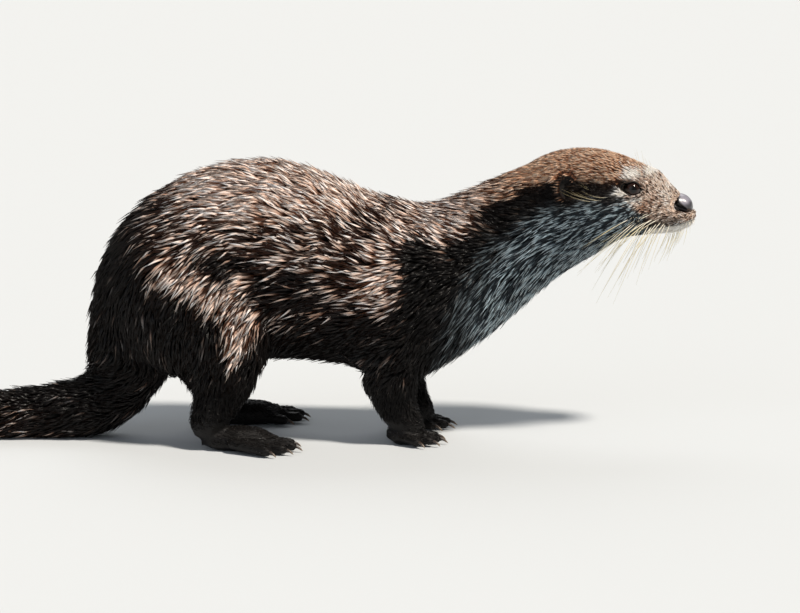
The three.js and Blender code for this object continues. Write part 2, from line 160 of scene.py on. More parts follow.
def add_object(name: str, data: bpy.types.ID) -> bpy.types.Object:
    """Adds an object to the scene.

    Args:
        name: Its name.
        data: Its mesh, lamp or camera.

    Returns:
        The new object.
    """
    made = bpy.data.objects.new(name, data)
    bpy.context.scene.collection.objects.link(made)
    return made


# ---- surfaces


@dataclass
class Surface:
    """A triangle mesh in numpy arrays."""

    points: Array
    faces: Array

    @classmethod
    def of_mesh(cls, mesh: bpy.types.Mesh) -> "Surface":
        """Reads a Blender mesh, in triangles.

        Args:
            mesh: The mesh to read.

        Returns:
            The surface.
        """
        points = np.empty(len(mesh.vertices) * 3)
        mesh.vertices.foreach_get("co", points)
        mesh.calc_loop_triangles()
        faces = np.empty(len(mesh.loop_triangles) * 3, np.int32)
        mesh.loop_triangles.foreach_get("vertices", faces)
        return cls(points.reshape(-1, 3), faces.reshape(-1, 3))

    def normals(self) -> Array:
        """Works out the normals at the corners.

        Returns:
            Unit vectors, one row for each corner.
        """
        a, b, c = (self.points[self.faces[:, i]] for i in range(3))
        flat = np.cross(b - a, c - a)
        total = np.zeros((len(self.points), 3))
        for corner in range(3):
            for axis in range(3):
                total[:, axis] += np.bincount(self.faces[:, corner], flat[:, axis], len(total))
        return unit(total)

    def _links(self) -> tuple[Array, Array, Array]:
        """Finds the neighbours of all corners.

        Returns:
            All neighbours in a row, where each corner's stretch of it starts, and how many each has.
        """
        f = self.faces
        one = np.concatenate([f[:, 0], f[:, 1], f[:, 2]])
        two = np.concatenate([f[:, 1], f[:, 2], f[:, 0]])
        order = np.argsort(one, kind="stable")
        count = np.bincount(one, minlength=len(self.points))
        return two[order], np.concatenate([[0], np.cumsum(count)[:-1]]), np.maximum(count, 1)

    def spread(self, values: Array, rounds: int, share: Array | float = 0.6) -> Array:
        """Evens out values over neighbouring corners.

        Args:
            values: One row for each corner.
            rounds: How often neighbours are averaged.
            share: How far each corner goes towards its neighbours' mean, one or one for each. A pair
                of numbers takes turns.

        Returns:
            The smoothed values.
        """
        two, starts, degree = self._links()
        out = np.array(values, float).reshape(len(self.points), -1)
        turns = share if isinstance(share, tuple) else (share,)
        turns = [np.broadcast_to(np.asarray(s, float).reshape(-1, 1), (len(out), 1)) for s in turns]
        for number in range(rounds):
            mean = np.add.reduceat(out[two], starts, axis=0) / degree[:, None]
            out += turns[number % len(turns)] * (mean - out)
        return out.reshape(np.shape(values))

    def faired(self, rounds: int, share: Array) -> "Surface":
        """Smooths the shape and keeps its size, by going in and out in turn."""
        points = self.spread(self.points, 2 * rounds, (0.62 * share, -0.65 * share))
        return Surface(points, self.faces)

    def refined(self, chosen: Array) -> "Surface":
        """Halves the edges of some triangles.

        Args:
            chosen: Which triangles.

        Returns:
            The finer surface.
        """
        mesh = self.to_mesh("refining")
        work = bmesh.new()
        work.from_mesh(mesh)
        work.faces.ensure_lookup_table()
        edges = {edge for i in np.flatnonzero(chosen) for edge in work.faces[i].edges}
        bmesh.ops.subdivide_edges(work, edges=list(edges), cuts=1, use_grid_fill=True)
        bmesh.ops.triangulate(work, faces=work.faces[:])
        work.to_mesh(mesh)
        work.free()
        fine = Surface.of_mesh(mesh)
        bpy.data.meshes.remove(mesh)
        return fine

    def to_mesh(self, name: str) -> bpy.types.Mesh:
        """Makes a Blender mesh with smooth shading.

        Args:
            name: The mesh's name.

        Returns:
            The new mesh.
        """
        mesh = bpy.data.meshes.new(name)
        mesh.vertices.add(len(self.points))
        mesh.vertices.foreach_set("co", self.points.astype(np.float32).ravel())
        mesh.loops.add(self.faces.size)
        mesh.loops.foreach_set("vertex_index", self.faces.astype(np.int32).ravel())
        mesh.polygons.add(len(self.faces))
        mesh.polygons.foreach_set("loop_start", np.arange(0, self.faces.size, 3, dtype=np.int32))
        mesh.update(calc_edges=True)
        mesh.validate()
        mesh.polygons.foreach_set("use_smooth", np.ones(len(mesh.polygons), bool))
        return mesh


@dataclass
class Piece:
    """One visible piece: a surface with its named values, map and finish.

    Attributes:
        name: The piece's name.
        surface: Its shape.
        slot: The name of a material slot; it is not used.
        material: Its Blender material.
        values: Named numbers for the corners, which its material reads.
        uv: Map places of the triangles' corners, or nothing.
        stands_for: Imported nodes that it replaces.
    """

    name: str
    surface: Surface
    slot: str
    material: Material
    values: dict[str, Array] = field(default_factory=dict)
    uv: Array | None = None
    stands_for: tuple[str, ...] = ()

    def place(self) -> None:
        """Puts the piece in the scene, on the otter's one body."""
        mesh = self.surface.to_mesh(self.name)
        for name, numbers in self.values.items():
            layer = mesh.attributes.new(name, "FLOAT", "POINT")
            layer.data.foreach_set("value", np.asarray(numbers, np.float32))
        if self.uv is not None:
            layer = mesh.uv_layers.new(name="OFBake")
            layer.data.foreach_set("uv", self.uv.astype(np.float32).ravel())
        mesh.materials.append(self.material)
        made = add_object(self.name, mesh)
        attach(made, "root")
        if self.stands_for:
            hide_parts(*self.stands_for)
        LOG.info("%s: %d triangles", self.name, len(self.surface.faces))


def bands(rings: int, around: int, first: int = 0) -> Array:
    """Joins rings of corners by triangles, each ring to the next.

    Args:
        rings: How many rings there are.
        around: Corners in each.
        first: Number of the first corner.

    Returns:
        The triangles.
    """
    j = np.arange(around)
    nxt = (j + 1) % around
    low = first + around * np.arange(rings - 1)[:, None]
    a, b, c, d = low + j, low + nxt, low + around + nxt, low + around + j
    return np.concatenate([np.stack([a, b, c], -1), np.stack([a, c, d], -1)]).reshape(-1, 3)


def fan(around: int, first: int, pole: int) -> Array:
    """Triangles from a pole to a ring of corners that starts at first."""
    j = np.arange(around)
    return np.stack([np.full(around, pole), first + (j + 1) % around, first + j], 1)


def tube(path: Array, radii: Array, around: int) -> Surface:
    """A closed tapering tube.

    Args:
        path: Points along its middle.
        radii: Its radius at each of them.
        around: Corners in each ring.

    Returns:
        The surface.
    """
    along = unit(np.gradient(path, axis=0))
    aside = unit(np.cross(along, (0.31, 0.52, 0.79)))
    up = np.cross(along, aside)
    turn = np.arange(around) / around * 2 * math.pi
    rings = path[:, None] + radii[:, None, None] * (
        np.cos(turn)[None, :, None] * aside[:, None] + np.sin(turn)[None, :, None] * up[:, None]
    )
    count = len(path)
    points = np.concatenate([rings.reshape(-1, 3), path[:1], path[-1:]])
    low, high = count * around, count * around + 1
    end = fan(around, (count - 1) * around, high)[:, ::-1]
    return Surface(points, np.concatenate([fan(around, 0, low), bands(count, around), end]))


def along_tube(share: Array, around: int) -> Array:
    """How far along a tube each of its corners lies, from shares ring by ring."""
    return np.concatenate([np.repeat(share, around), [0, 1]])


def merged(parts: list[Surface]) -> Surface:
    """Several surfaces as one."""
    faces = [p.faces + start for p, start in zip(parts, np.cumsum([0] + [len(p.points) for p in parts]))]
    return Surface(np.concatenate([part.points for part in parts]), np.concatenate(faces))


def ball(rings: int, around: int) -> tuple[Array, Array]:
    """A unit ball with its poles on the X axis.

    Args:
        rings: Rings between the poles.
        around: Corners in each ring.

    Returns:
        Directions of its corners, with the +X pole first, and its triangles.
    """
    tilt = np.linspace(0, math.pi, rings + 2)[1:-1]
    turn = np.arange(around) / around * 2 * math.pi
    t, a = np.meshgrid(tilt, turn, indexing="ij")
    body = np.stack([np.cos(t), np.sin(t) * np.cos(a), np.sin(t) * np.sin(a)], -1).reshape(-1, 3)
    ways = np.concatenate([[[1, 0, 0]], body, [[-1, 0, 0]]])
    start = fan(around, 1, 0)[:, ::-1]
    end = fan(around, 1 + (rings - 1) * around, len(ways) - 1)
    return ways, np.concatenate([start, bands(rings, around, 1)[:, ::-1], end])


# ---- the animal's lie of coat


class Run(Enum):
    """The axis that a part of the body runs along."""

    LENGTH = 0
    HEIGHT = 2


@dataclass(frozen=True)
class Lie:
    """How the coat lies on one part of the body.

    Attributes:
        length_mm: Length of a lock.
        depth_mm: How deep the skin lies under the outline.
        lift: Height of a lock's tip, as a share of the depth.
        spacing_mm: Distance between locks.
        width_mm: Half the width of one strand at its root.
        strands: Strands that make a lock.
        fair: How strongly the skin is smoothed here, from nought to one.
        run: The axis that the part runs along.
        way: Direction of the hair, or nothing where COMBED or the line of the tail gives it.
    """

    length_mm: float
    depth_mm: float
    lift: float
    spacing_mm: float
    width_mm: float
    strands: int
    fair: float
    run: Run = Run.LENGTH
    way: Triple | None = None


LIES = {
    "head": Lie(13.0, 2.0, 1.10, 1.75, 0.32, 2, 0.45),
    "lower_jaw": Lie(6.0, 1.4, 1.05, 1.7, 0.30, 2, 0.40),
    "neck": Lie(19.0, 4.2, 1.12, 2.3, 0.35, 3, 1.0),
    "chest": Lie(22.0, 5.5, 1.15, 2.9, 0.52, 3, 1.0),
    "loin": Lie(23.0, 5.5, 1.15, 3.0, 0.56, 3, 1.0),
    "rump": Lie(23.0, 5.5, 1.15, 3.0, 0.56, 3, 1.0),
    "tail_root": Lie(19.0, 4.2, 1.15, 3.1, 0.46, 3, 1.0),
    "tail_middle": Lie(14.0, 2.8, 1.15, 2.7, 0.44, 3, 0.9),
    "tail_tip": Lie(9.0, 1.6, 1.10, 2.3, 0.40, 2, 0.8),
    "upper_arm": Lie(17.0, 4.0, 1.10, 2.8, 0.46, 3, 0.9, Run.HEIGHT),
    "forearm": Lie(8.0, 2.2, 1.05, 2.3, 0.40, 2, 0.6, Run.HEIGHT, (-0.1, 0, -1)),
    "forepaw": Lie(4.0, 0.5, 1.0, 2.2, 0.30, 1, 0.12, Run.LENGTH, (0.9, 0, -0.4)),
    "thigh": Lie(21.0, 5.0, 1.2, 2.9, 0.54, 3, 1.0, Run.HEIGHT),
    "shank": Lie(10.0, 3.0, 1.10, 2.6, 0.42, 2, 0.7, Run.HEIGHT, (-0.3, 0, -0.95)),
    "hind_foot": Lie(4.5, 0.5, 1.0, 2.4, 0.30, 1, 0.12, Run.LENGTH, (1, 0, -0.2)),
}
BARE = ("eye", "nose", "ear")


def stem(node: str) -> str:
    """A node's name without its side."""
    return node.removesuffix("_right").removesuffix("_left")


def lie_of(node: str) -> Lie:
    """The lie of the coat over a node; eyes and nose take the head's."""
    return LIES.get(stem(node), LIES["head"])


@dataclass(frozen=True)
class Landmarks:
    """Places on the head that several pieces share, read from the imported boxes.

    Attributes:
        middle: The animal's mid-plane, as a Y.
        eye: Centre of the right eye.
        eye_radius: The eye's radius.
        nose_low: Lowest corner of the nose's box.
        nose_high: Highest corner of it.
        lip: Front end of the lip line, as X and Z.
        corner: X of the mouth's corner.
        lip_slope: Rise of the lip line towards the nose.
        gaze: The way that the left eye looks.
        half_open_mm: Half the length and half the height of the opening of the lids.
        open_shares: What the rear's length, and the upper and the lower half's height, are times those.
        squared: How far the opening's corners are drawn in.
    """

    middle: float
    eye: Array
    eye_radius: float
    nose_low: Array
    nose_high: Array
    lip: Pair
    corner: float
    lip_slope: float = 0.2
    gaze: Triple = (0.10, 0.98, 0.14)
    half_open_mm: Pair = (8.2, 6.1)
    open_shares: Triple = (1.15, 1.05, 0.88)
    squared: float = 0.10

    @classmethod
    def read(cls) -> "Landmarks":
        """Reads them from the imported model.

        Returns:
            The landmarks.
        """
        low, high = (np.array(c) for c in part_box("nose"))
        eye_low, eye_high = (np.array(c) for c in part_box("eye_right"))
        jaw_low, jaw_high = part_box("lower_jaw")
        return cls(
            middle=(low[1] + high[1]) / 2,
            eye=(eye_low + eye_high) / 2,
            eye_radius=(eye_high[0] - eye_low[0]) / 2,
            nose_low=low,
            nose_high=high,
            lip=(jaw_high[0], jaw_high[2]),
            corner=jaw_low[0],
        )

    def eye_at(self, side: float) -> Array:
        """Centre of the eye on one side: -1 is right and 1 is left."""
        return np.array([self.eye[0], self.middle + side * (self.middle - self.eye[1]), self.eye[2]])

    def from_eyes(self, points: Array) -> Array:
        """Distance of each point from the middle of the nearer eye."""
        return np.min([np.linalg.norm(points - self.eye_at(s), axis=1) for s in SIDES.values()], axis=0)

    def eye_axes(self, side: float) -> Array:
        """An eye's own axes: out along the gaze, ahead along the lids, and up."""
        return axes_from(np.array(self.gaze) * (1, side, 1), np.array([1.0, 0, -0.19]))

    def nose_box(self) -> tuple[Array, Array]:
        """Middle of the nose's box and half its size."""
        return (self.nose_low + self.nose_high) / 2, (self.nose_high - self.nose_low) / 2

    def opening(self, ahead: Array, up: Array) -> tuple[Array, Array]:
        """Compares places with the almond opening of the lids.

        Args:
            ahead: Places along the lids, from the eyeball's middle.
            up: Places above it.

        Returns:
            The distance from the middle as a share of the opening's, and the opening's radius that way.
        """
        far = np.maximum(np.hypot(ahead, up), 1e-9)
        turn = np.arctan2(up, ahead)
        half, tall = (size * MM for size in self.half_open_mm)
        rear, upper, lower = self.open_shares
        half = np.where(np.abs(turn) > math.pi / 2, half * rear, half)
        tall = np.where(turn > 0, tall * upper, tall * lower)
        edge = 1 / np.hypot(np.cos(turn) / half, np.sin(turn) / tall)
        edge *= 1 - self.squared * np.sin(2 * turn) ** 2
        return far / edge, edge

    def lip_height(self, x: Array) -> Array:
        """Height of the lip line at an X."""
        return self.lip[1] - self.lip_slope * (self.lip[0] - x)


class Unwrap:
    """A map of one part of the skin: the way along it and the way round it."""

    def __init__(self, points: Array, run: Run) -> None:
        """Finds the part's middle line.

        Args:
            points: The part's points.
            run: The axis that it runs along.
        """
        self.axis = run.value
        self.others = [k for k in range(3) if k != self.axis]
        place = points[:, self.axis]
        self.start, self.end = place.min(), place.max() + 1e-6
        count = 16
        cell = np.clip(((place - self.start) / (self.end - self.start) * count).astype(int), 0, count - 1)
        size = np.maximum(np.bincount(cell, minlength=count), 1)
        self.marks = self.start + (np.arange(count) + 0.5) / count * (self.end - self.start)
        self.line = [np.bincount(cell, points[:, k], count) / size for k in self.others]

    def turn_and_run(self, points: Array) -> tuple[Array, Array]:
        """Places points on the map.

        Args:
            points: The points.

        Returns:
            Their angle round the part, from -pi to pi, and their share of the way along it.
        """
        place = points[:, self.axis]
        aside = [
            points[:, k] - np.interp(place, self.marks, line) for k, line in zip(self.others, self.line)
        ]
        return np.arctan2(aside[0], aside[1]), (place - self.start) / (self.end - self.start)


@dataclass(frozen=True)
class Stretch:
    """A rounded stretch of the coat, seen from the side, with a number of its own.

    Attributes:
        at_mm: Its middle, as X and Z from the eye.
        half_mm: Half its length and half its height.
        value: The number.
        tilt: Rise of its length towards the nose, in degrees.
    """

    at_mm: Pair
    half_mm: Pair
    value: float
    tilt: float = 0.0

    def far(self, from_eye: Array) -> Array:
        """Measures how far off the stretch is.

        Args:
            from_eye: Places in millimetres from the right eye, as X, Y and Z.

        Returns:
            Distances from its middle, with its own edge at one.
        """
        ahead, up = from_eye[:, 0] - self.at_mm[0], from_eye[:, 2] - self.at_mm[1]
        rise, run = math.sin(math.radians(self.tilt)), math.cos(math.radians(self.tilt))
        long, high = self.half_mm
        return np.hypot((ahead * run + up * rise) / long, (up * run - ahead * rise) / high)


# How the hair falls on its way back, in degrees: 0 is straight back and 90 is straight down.
COMBED = {
    "brow": Stretch((6, 15), (15, 12), -17),
    "bridge of the nose": Stretch((24, 3), (14, 10), -34),
    "side of the muzzle": Stretch((36, -12), (16, 9), -8),
    "lip": Stretch((2, -25), (18, 8), 18),
    "crown": Stretch((-46, 16), (44, 18), 0),
    "cheek": Stretch((-50, -34), (32, 12), 22),
    "throat": Stretch((-68, -50), (44, 10), 36),
    "poll": Stretch((-106, 5), (26, 18), 3),
    "nape": Stretch((-160, -28), (34, 24), -21),
    "bib": Stretch((-128, -98), (34, 36), 42),
    "side of the neck": Stretch((-196, -96), (22, 28), 34),
    "breast": Stretch((-178, -150), (36, 24), 46),
    "upper arm": Stretch((-216, -174), (22, 22), 56),
    "withers": Stretch((-246, -20), (22, 32), -30),
    "shoulder": Stretch((-242, -92), (22, 32), -1),
    "back": Stretch((-302, -14), (38, 26), -20),
    "top of the back": Stretch((-334, 16), (50, 12), -6),
    "flank": Stretch((-296, -62), (42, 26), -6),
    "lower flank": Stretch((-318, -102), (26, 20), 20),
    "belly": Stretch((-276, -138), (44, 18), 24),
    "fold before the thigh": Stretch((-326, -158), (20, 24), 45),
    "loin": Stretch((-362, -8), (30, 22), 8),
    "croup": Stretch((-404, -28), (30, 24), 24),
    "rump": Stretch((-446, -56), (26, 22), 48),
    "rear of the rump": Stretch((-470, -122), (22, 48), 82),
    "top of the thigh": Stretch((-388, -80), (26, 24), 50),
    "thigh": Stretch((-412, -146), (32, 44), 88),
    "front of the thigh": Stretch((-356, -134), (22, 34), 68),
    "root of the tail": Stretch((-480, -213), (28, 18), 66),
}


# The share of the locks that are pale at their tips, laid out as painted sunlight and shade: high where
# light falls, low in shade, and the first number is the share in painted shade where no stretch lies.
# Later stretches lie over earlier ones.
TIPS_IN_PAINTED_SHADE = 0.05
PAINTED_SUN_ON_TIPS = {
    "back and flank": Stretch((-304, -36), (132, 86), 0.70),
    "arch of the back": Stretch((-295, 2), (105, 30), 1.0),
    "lower flank": Stretch((-296, -92), (46, 24), 0.46),
    "rear of the rump": Stretch((-474, -120), (46, 88), 0.02),
    "under the thigh's ridge": Stretch((-404, -124), (42, 38), 0.05, -20),
    "fold over the thigh": Stretch((-358, -61), (34, 9), 0.22, -8),
    "top of the thigh": Stretch((-385, -72), (38, 14), 0.90, -32),
    "front of the thigh": Stretch((-346, -110), (36, 15), 0.90, 82),
    "shoulder": Stretch((-216, -76), (20, 30), 0.92),
    "nape": Stretch((-152, -20), (62, 26), 0.88, 22),
    "crown": Stretch((-38, 24), (78, 20), 1.0, 4),
    "muzzle": Stretch((34, -12), (34, 28), 1.0),
    "cheek": Stretch((-36, -34), (46, 18), 0.42, 10),
    "temple": Stretch((-54, -2), (30, 13), 0.28),
    "behind the ear": Stretch((-98, -14), (34, 10), 0.22, 24),
    "hollow of the neck": Stretch((-180, -80), (17, 34), 0.05),
    "underside of the tail's root": Stretch((-444, -223), (12, 9), 0.38),
    "tail": Stretch((-680, -225), (180, 45), 0.50),
}
SOFT_EDGE = (1.22, 0.78)

# Cream hair by the eye, with the strength of each patch. The patch on the brow further ahead is a painted
# highlight where light falls on the bridge.
CREAM = {
    "over the eye": Stretch((1.5, 13.5), (6.0, 4.5), 1.3),
    # A painted highlight, where light falls on the brow.
    "brow, further ahead": Stretch((21.0, 14.5), (7.0, 4.5), 1.2),
    "rear corner of the eye": Stretch((-8.5, -2.0), (6.0, 2.0), 1.3),
    "under the eye": Stretch((3.0, -9.5), (7.5, 1.8), 1.0),
    "bridge of the muzzle": Stretch((39.0, 2.0), (9.0, 4.5), 0.55),
    "side of the muzzle": Stretch((32.0, -8.0), (4.0, 6.0), 0.5),
}


def combed_ways(from_eye: Array, sharpness: float = 1.5) -> Array:
    """Blends the falls of the hair.

    Args:
        from_eye: Places in millimetres from the right eye, as X, Y and Z.
        sharpness: How sharply the nearest stretch wins over the others.

    Returns:
        The way that the hair points at each place, as X and Z.
    """
    far = np.stack([stretch.far(from_eye) ** 2 for stretch in COMBED.values()], axis=1)
    falls = np.radians([stretch.value for stretch in COMBED.values()])
    weight = np.exp(-sharpness * (far - far.min(axis=1, keepdims=True)))
    return weight @ -np.stack([np.cos(falls), np.sin(falls)], axis=1) / weight.sum(axis=1, keepdims=True)


def painted_sun_on_tips(from_eye: Array) -> Array:
    """Lays the stretches of pale tips, which are painted sunlight and shade, over each other.

    Args:
        from_eye: Places in millimetres from the right eye, as X, Y and Z.

    Returns:
        The share of pale tips at each place: painted sunlight where it is high, painted shade where low.
    """
    tips = np.full(len(from_eye), TIPS_IN_PAINTED_SHADE)
    for stretch in PAINTED_SUN_ON_TIPS.values():
        tips += (stretch.value - tips) * smoothstep(*SOFT_EDGE, stretch.far(from_eye))
    return tips


# ---- the skin


@dataclass
class Hide:
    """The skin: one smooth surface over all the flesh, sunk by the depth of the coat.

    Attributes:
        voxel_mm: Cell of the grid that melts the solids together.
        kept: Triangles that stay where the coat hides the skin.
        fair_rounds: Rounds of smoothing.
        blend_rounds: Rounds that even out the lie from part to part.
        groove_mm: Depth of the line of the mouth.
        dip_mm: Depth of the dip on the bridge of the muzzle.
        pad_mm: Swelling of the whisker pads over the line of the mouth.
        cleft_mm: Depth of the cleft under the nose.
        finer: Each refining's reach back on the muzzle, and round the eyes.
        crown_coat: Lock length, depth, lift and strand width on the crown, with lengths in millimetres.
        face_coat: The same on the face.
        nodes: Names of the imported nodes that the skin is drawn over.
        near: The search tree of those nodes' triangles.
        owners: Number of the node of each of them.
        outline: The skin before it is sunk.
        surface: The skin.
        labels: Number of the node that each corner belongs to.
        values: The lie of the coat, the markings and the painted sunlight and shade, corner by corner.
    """

    marks: Landmarks
    voxel_mm: float = 1.6
    kept: float = 0.30
    fair_rounds: int = 50
    blend_rounds: int = 26
    groove_mm: float = 1.4
    dip_mm: float = 2.6
    pad_mm: float = 1.1
    cleft_mm: float = 0.9
    finer: tuple[Pair, ...] = ((0.050, 0.016), (0.036, 0.0125))
    crown_coat: tuple[float, ...] = (8.0, 1.8, 1.10, 0.36)
    face_coat: tuple[float, ...] = (4.4, 0.9, 1.05, 0.33)
    nodes: list[str] = field(default_factory=list)
    near: BVHTree | None = None
    owners: Array | None = None
    outline: Surface | None = None
    surface: Surface | None = None
    labels: Array | None = None
    values: dict[str, Array] = field(default_factory=dict)

    def build(self) -> None:
        """Makes the surface and all that the coat needs to know of it."""
        self.nodes = [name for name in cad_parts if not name.startswith("ear")]
        parts = [Surface.of_mesh(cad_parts[name].data) for name in self.nodes]
        solids = merged(parts)
        self.owners = np.repeat(np.arange(len(parts)), [len(part.faces) for part in parts])
        self.near = BVHTree.FromPolygons(solids.points.tolist(), solids.faces.tolist())
        skin = self._melted(solids)
        skin = self._thinned(skin, self._labelled(skin))
        skin = self._faired(skin, self._labelled(skin))
        for reach, ring in self.finer:
            skin = skin.refined(self._near_face(skin, reach, ring))
            LOG.info("skin refined to %d triangles", len(skin.faces))
        self.labels = self._labelled(skin)
        self.outline = skin
        self._even_out()
        self._sink()
        LOG.info("skin laid out: %d triangles", len(self.surface.faces))

    def _labelled(self, skin: Surface) -> Array:
        """Number of the node that each corner of the skin belongs to, by the nearest solid."""
        return np.array([self.owners[self.near.find_nearest(Vector(p))[2]] for p in skin.points])

    def _melted(self, solids: Surface) -> Surface:
        """Joins the solids to one skin on a grid of cells.

        Args:
            solids: The solids.

        Returns:
            The skin.
        """
        made = add_object("melting", solids.to_mesh("melting"))
        change = made.modifiers.new("grid", "REMESH")
        change.mode = "VOXEL"
        change.voxel_size = self.voxel_mm * MM
        return self._taken(made)

    def _taken(self, made: bpy.types.Object) -> Surface:
        """Reads an object with its modifiers and removes it.

        Args:
            made: The helper object.

        Returns:
            Its final shape.
        """
        ready = made.evaluated_get(bpy.context.evaluated_depsgraph_get())
        shape = Surface.of_mesh(ready.to_mesh())
        ready.to_mesh_clear()
        mesh = made.data
        bpy.data.objects.remove(made)
        bpy.data.meshes.remove(mesh)
        return shape

    def _column(self, labels: Array, read: Callable[[Lie], object]) -> Array:
        """What read takes from the lie of each corner's node: a number or several."""
        table = np.array([read(lie_of(name)) for name in self.nodes], float)
        return table[labels]

    def _ear_seats(self, points: Array) -> Array:
        """How near each point is to the root of an ear, from nought to one."""
        return smoothstep(0.020, 0.011, from_ears(points))

    def _faired(self, skin: Surface, labels: Array) -> Surface:
        """Takes the flats of the solids out of the skin, and keeps its size.

        Args:
            skin: The skin.
            labels: The node number of each corner.

        Returns:
            The smooth skin.
        """
        share = skin.spread(self._column(labels, lambda lie: lie.fair), 25)
        seats = self._ear_seats(skin.points)
        smooth = skin.faired(self.fair_rounds, np.maximum(share, seats))
        smooth.points = smooth.spread(smooth.points, 60, 0.8 * seats)
        return smooth

    def _thinned(self, skin: Surface, labels: Array) -> Surface:
        """Takes triangles out where the coat is deep.

        Args:
            skin: The skin.
            labels: The node number of each corner.

        Returns:
            The lighter skin.
        """
        deep = self._column(labels, lambda lie: lie.depth_mm > 1.0) > 0
        deep &= self._ear_seats(skin.points) < 0.1
        made = add_object("thinning", skin.to_mesh("thinning"))
        made.vertex_groups.new(name="deep").add(np.flatnonzero(deep).tolist(), 1.0, "REPLACE")
        change = made.modifiers.new("thin", "DECIMATE")
        change.ratio = self.kept
        change.vertex_group = "deep"
        return self._taken(made)

    def _near_face(self, skin: Surface, reach: float, ring: float) -> Array:
        """Which triangles lie within a reach of the nose's tip, back along X, or in a ring round an eye."""
        middles = skin.points[skin.faces].mean(axis=1)
        return (middles[:, 0] > self.marks.nose_high[0] - reach) | (self.marks.from_eyes(middles) < ring)

    def _even_out(self) -> None:
        """Works out the lie over the whole skin, with soft changes from part to part."""
        skin = self.outline
        normals = skin.normals()
        ways = self._column(self.labels, lambda lie: lie.way or (0, 0, 0))
        sizes = self._column(self.labels, lambda lie: (lie.length_mm, lie.depth_mm, lie.lift, lie.width_mm))
        sizes *= (MM, MM, 1, MM)
        columns = np.column_stack([self._ways(ways), self._shorter_on_face(sizes)])
        columns = skin.spread(columns, self.blend_rounds)
        self.values = {
            "way": flat_to(columns[:, :3], normals),
            "length": columns[:, 3],
            "depth": columns[:, 4],
            "lift": columns[:, 5],
            "width": columns[:, 6],
        }

    def _shorter_on_face(self, sizes: Array) -> Array:
        """Shortens and thins the coat over the crown, and more so on the muzzle.

        Args:
            sizes: Length, depth, lift and strand width, corner by corner.

        Returns:
            The same with the head's short coat.
        """
        ahead, _, high = ((self.outline.points - self.marks.eye) / MM).T
        crown = smoothstep(-100, -55, ahead) * smoothstep(2, 14, high)
        face = smoothstep(-24, 14, ahead)
        for share, short in ((crown, self.crown_coat), (face, self.face_coat)):
            short = np.array(short) * (MM, MM, 1, MM)
            sizes += share[:, None] * (np.minimum(sizes, short) - sizes)
        return sizes

    def _ways(self, ways: Array) -> Array:
        """Adds the ways of the hair that LIES leaves open: over the trunk, along the tail, at the nose.

        Args:
            ways: The directions from LIES, corner by corner.

        Returns:
            All the directions.
        """
        points = self.outline.points
        tail = np.isin(self.labels, [i for i, name in enumerate(self.nodes) if name.startswith("tail")])
        trunk = (self._column(self.labels, lambda lie: lie.way is None) > 0) & ~tail
        combed = combed_ways((points[trunk] - self.marks.eye) / MM)
        ways[trunk] = unit(np.stack([combed[:, 0], 0 * combed[:, 0], combed[:, 1]], 1))
        line = Unwrap(points[tail], Run.LENGTH)
        slopes = [np.gradient(k, line.marks) for k in line.line]
        x = points[tail, 0]
        ways[tail] = unit(-np.stack([np.ones(len(x)), *(np.interp(x, line.marks, s) for s in slopes)], 1))
        nose = np.array([self.marks.nose_high[0], self.marks.middle, self.marks.nose_low[2]])
        aside = smoothstep(0.03, 0.0, np.linalg.norm(points - nose, axis=1))
        ways[:, 1] += 1.2 * aside * np.tanh((points[:, 1] - self.marks.middle) / 0.004)
        ways[:, 2] -= 0.4 * aside
        return ways

    def _sink(self) -> None:
        """Sinks the skin by the depth of the coat, and shapes the mouth and the eye sockets."""
        skin, marks = self.outline, self.marks
        normals = skin.normals()
        points = skin.points - normals * self.values["depth"][:, None]
        x, y, z = points.T
        tip, high = marks.nose_high[0], z - marks.lip_height(x)
        ahead = smoothstep(marks.corner - 0.004, marks.corner + 0.006, x)
        ahead *= smoothstep(0.030, 0.022, np.abs(y - marks.middle))
        groove = bell(high, 0, 0.0009) * ahead
        pads = bell(high, 0.006, 0.005) * ahead
        pads *= smoothstep(marks.corner, marks.corner + 0.02, x)
        cleft = bell(y, marks.middle, 0.0010) * ahead * (high > 0)
        cleft *= smoothstep(tip - 0.012, tip - 0.004, x)
        bridge = bell(x, tip - 0.0185, 0.0065) * np.maximum(normals[:, 2], 0) ** 1.5
        rise = self.pad_mm * pads - self.groove_mm * groove - self.cleft_mm * cleft - self.dip_mm * bridge
        points = points + normals * rise[:, None] * MM
        for side in SIDES.values():
            points = self._orbit(points, side)
        points = self._bay(points)
        points[:, 2] = np.maximum(points[:, 2], 0.0001)
        self.surface = Surface(points, skin.faces)
        # The mouth's line and the cleft: the coat keeps clear of them, and the skin's finish paints them
        # darker as shade.
        self.values["mouth"] = np.maximum(groove, cleft)

    def _orbit(self, points: Array, side: float) -> Array:
        """Opens the skin over an eyeball and draws it down to the lids around that.

        Args:
            points: The skin's points.
            side: -1 for the right eye and 1 for the left one.

        Returns:
            The skin with that opening.
        """
        marks, axes = self.marks, self.marks.eye_axes(side)
        out, ahead, up = ((points - marks.eye_at(side)) @ axes.T).T
        share, edge = marks.opening(ahead, up)
        dome = np.sqrt(np.maximum(marks.eye_radius**2 - np.hypot(ahead, up) ** 2, 0))
        lid = np.sqrt(np.maximum(marks.eye_radius**2 - edge**2, 0)) + 0.0006
        level = dome - 0.0016 + smoothstep(1.0, 1.12, share) * (lid - dome + 0.0016)
        level += smoothstep(1.12, 1.75, share) * (out - level)
        near = (share < 1.75) & (out > -0.004) & (out < 0.015)
        return points + np.where(near, level - out, 0.0)[:, None] * axes[0]

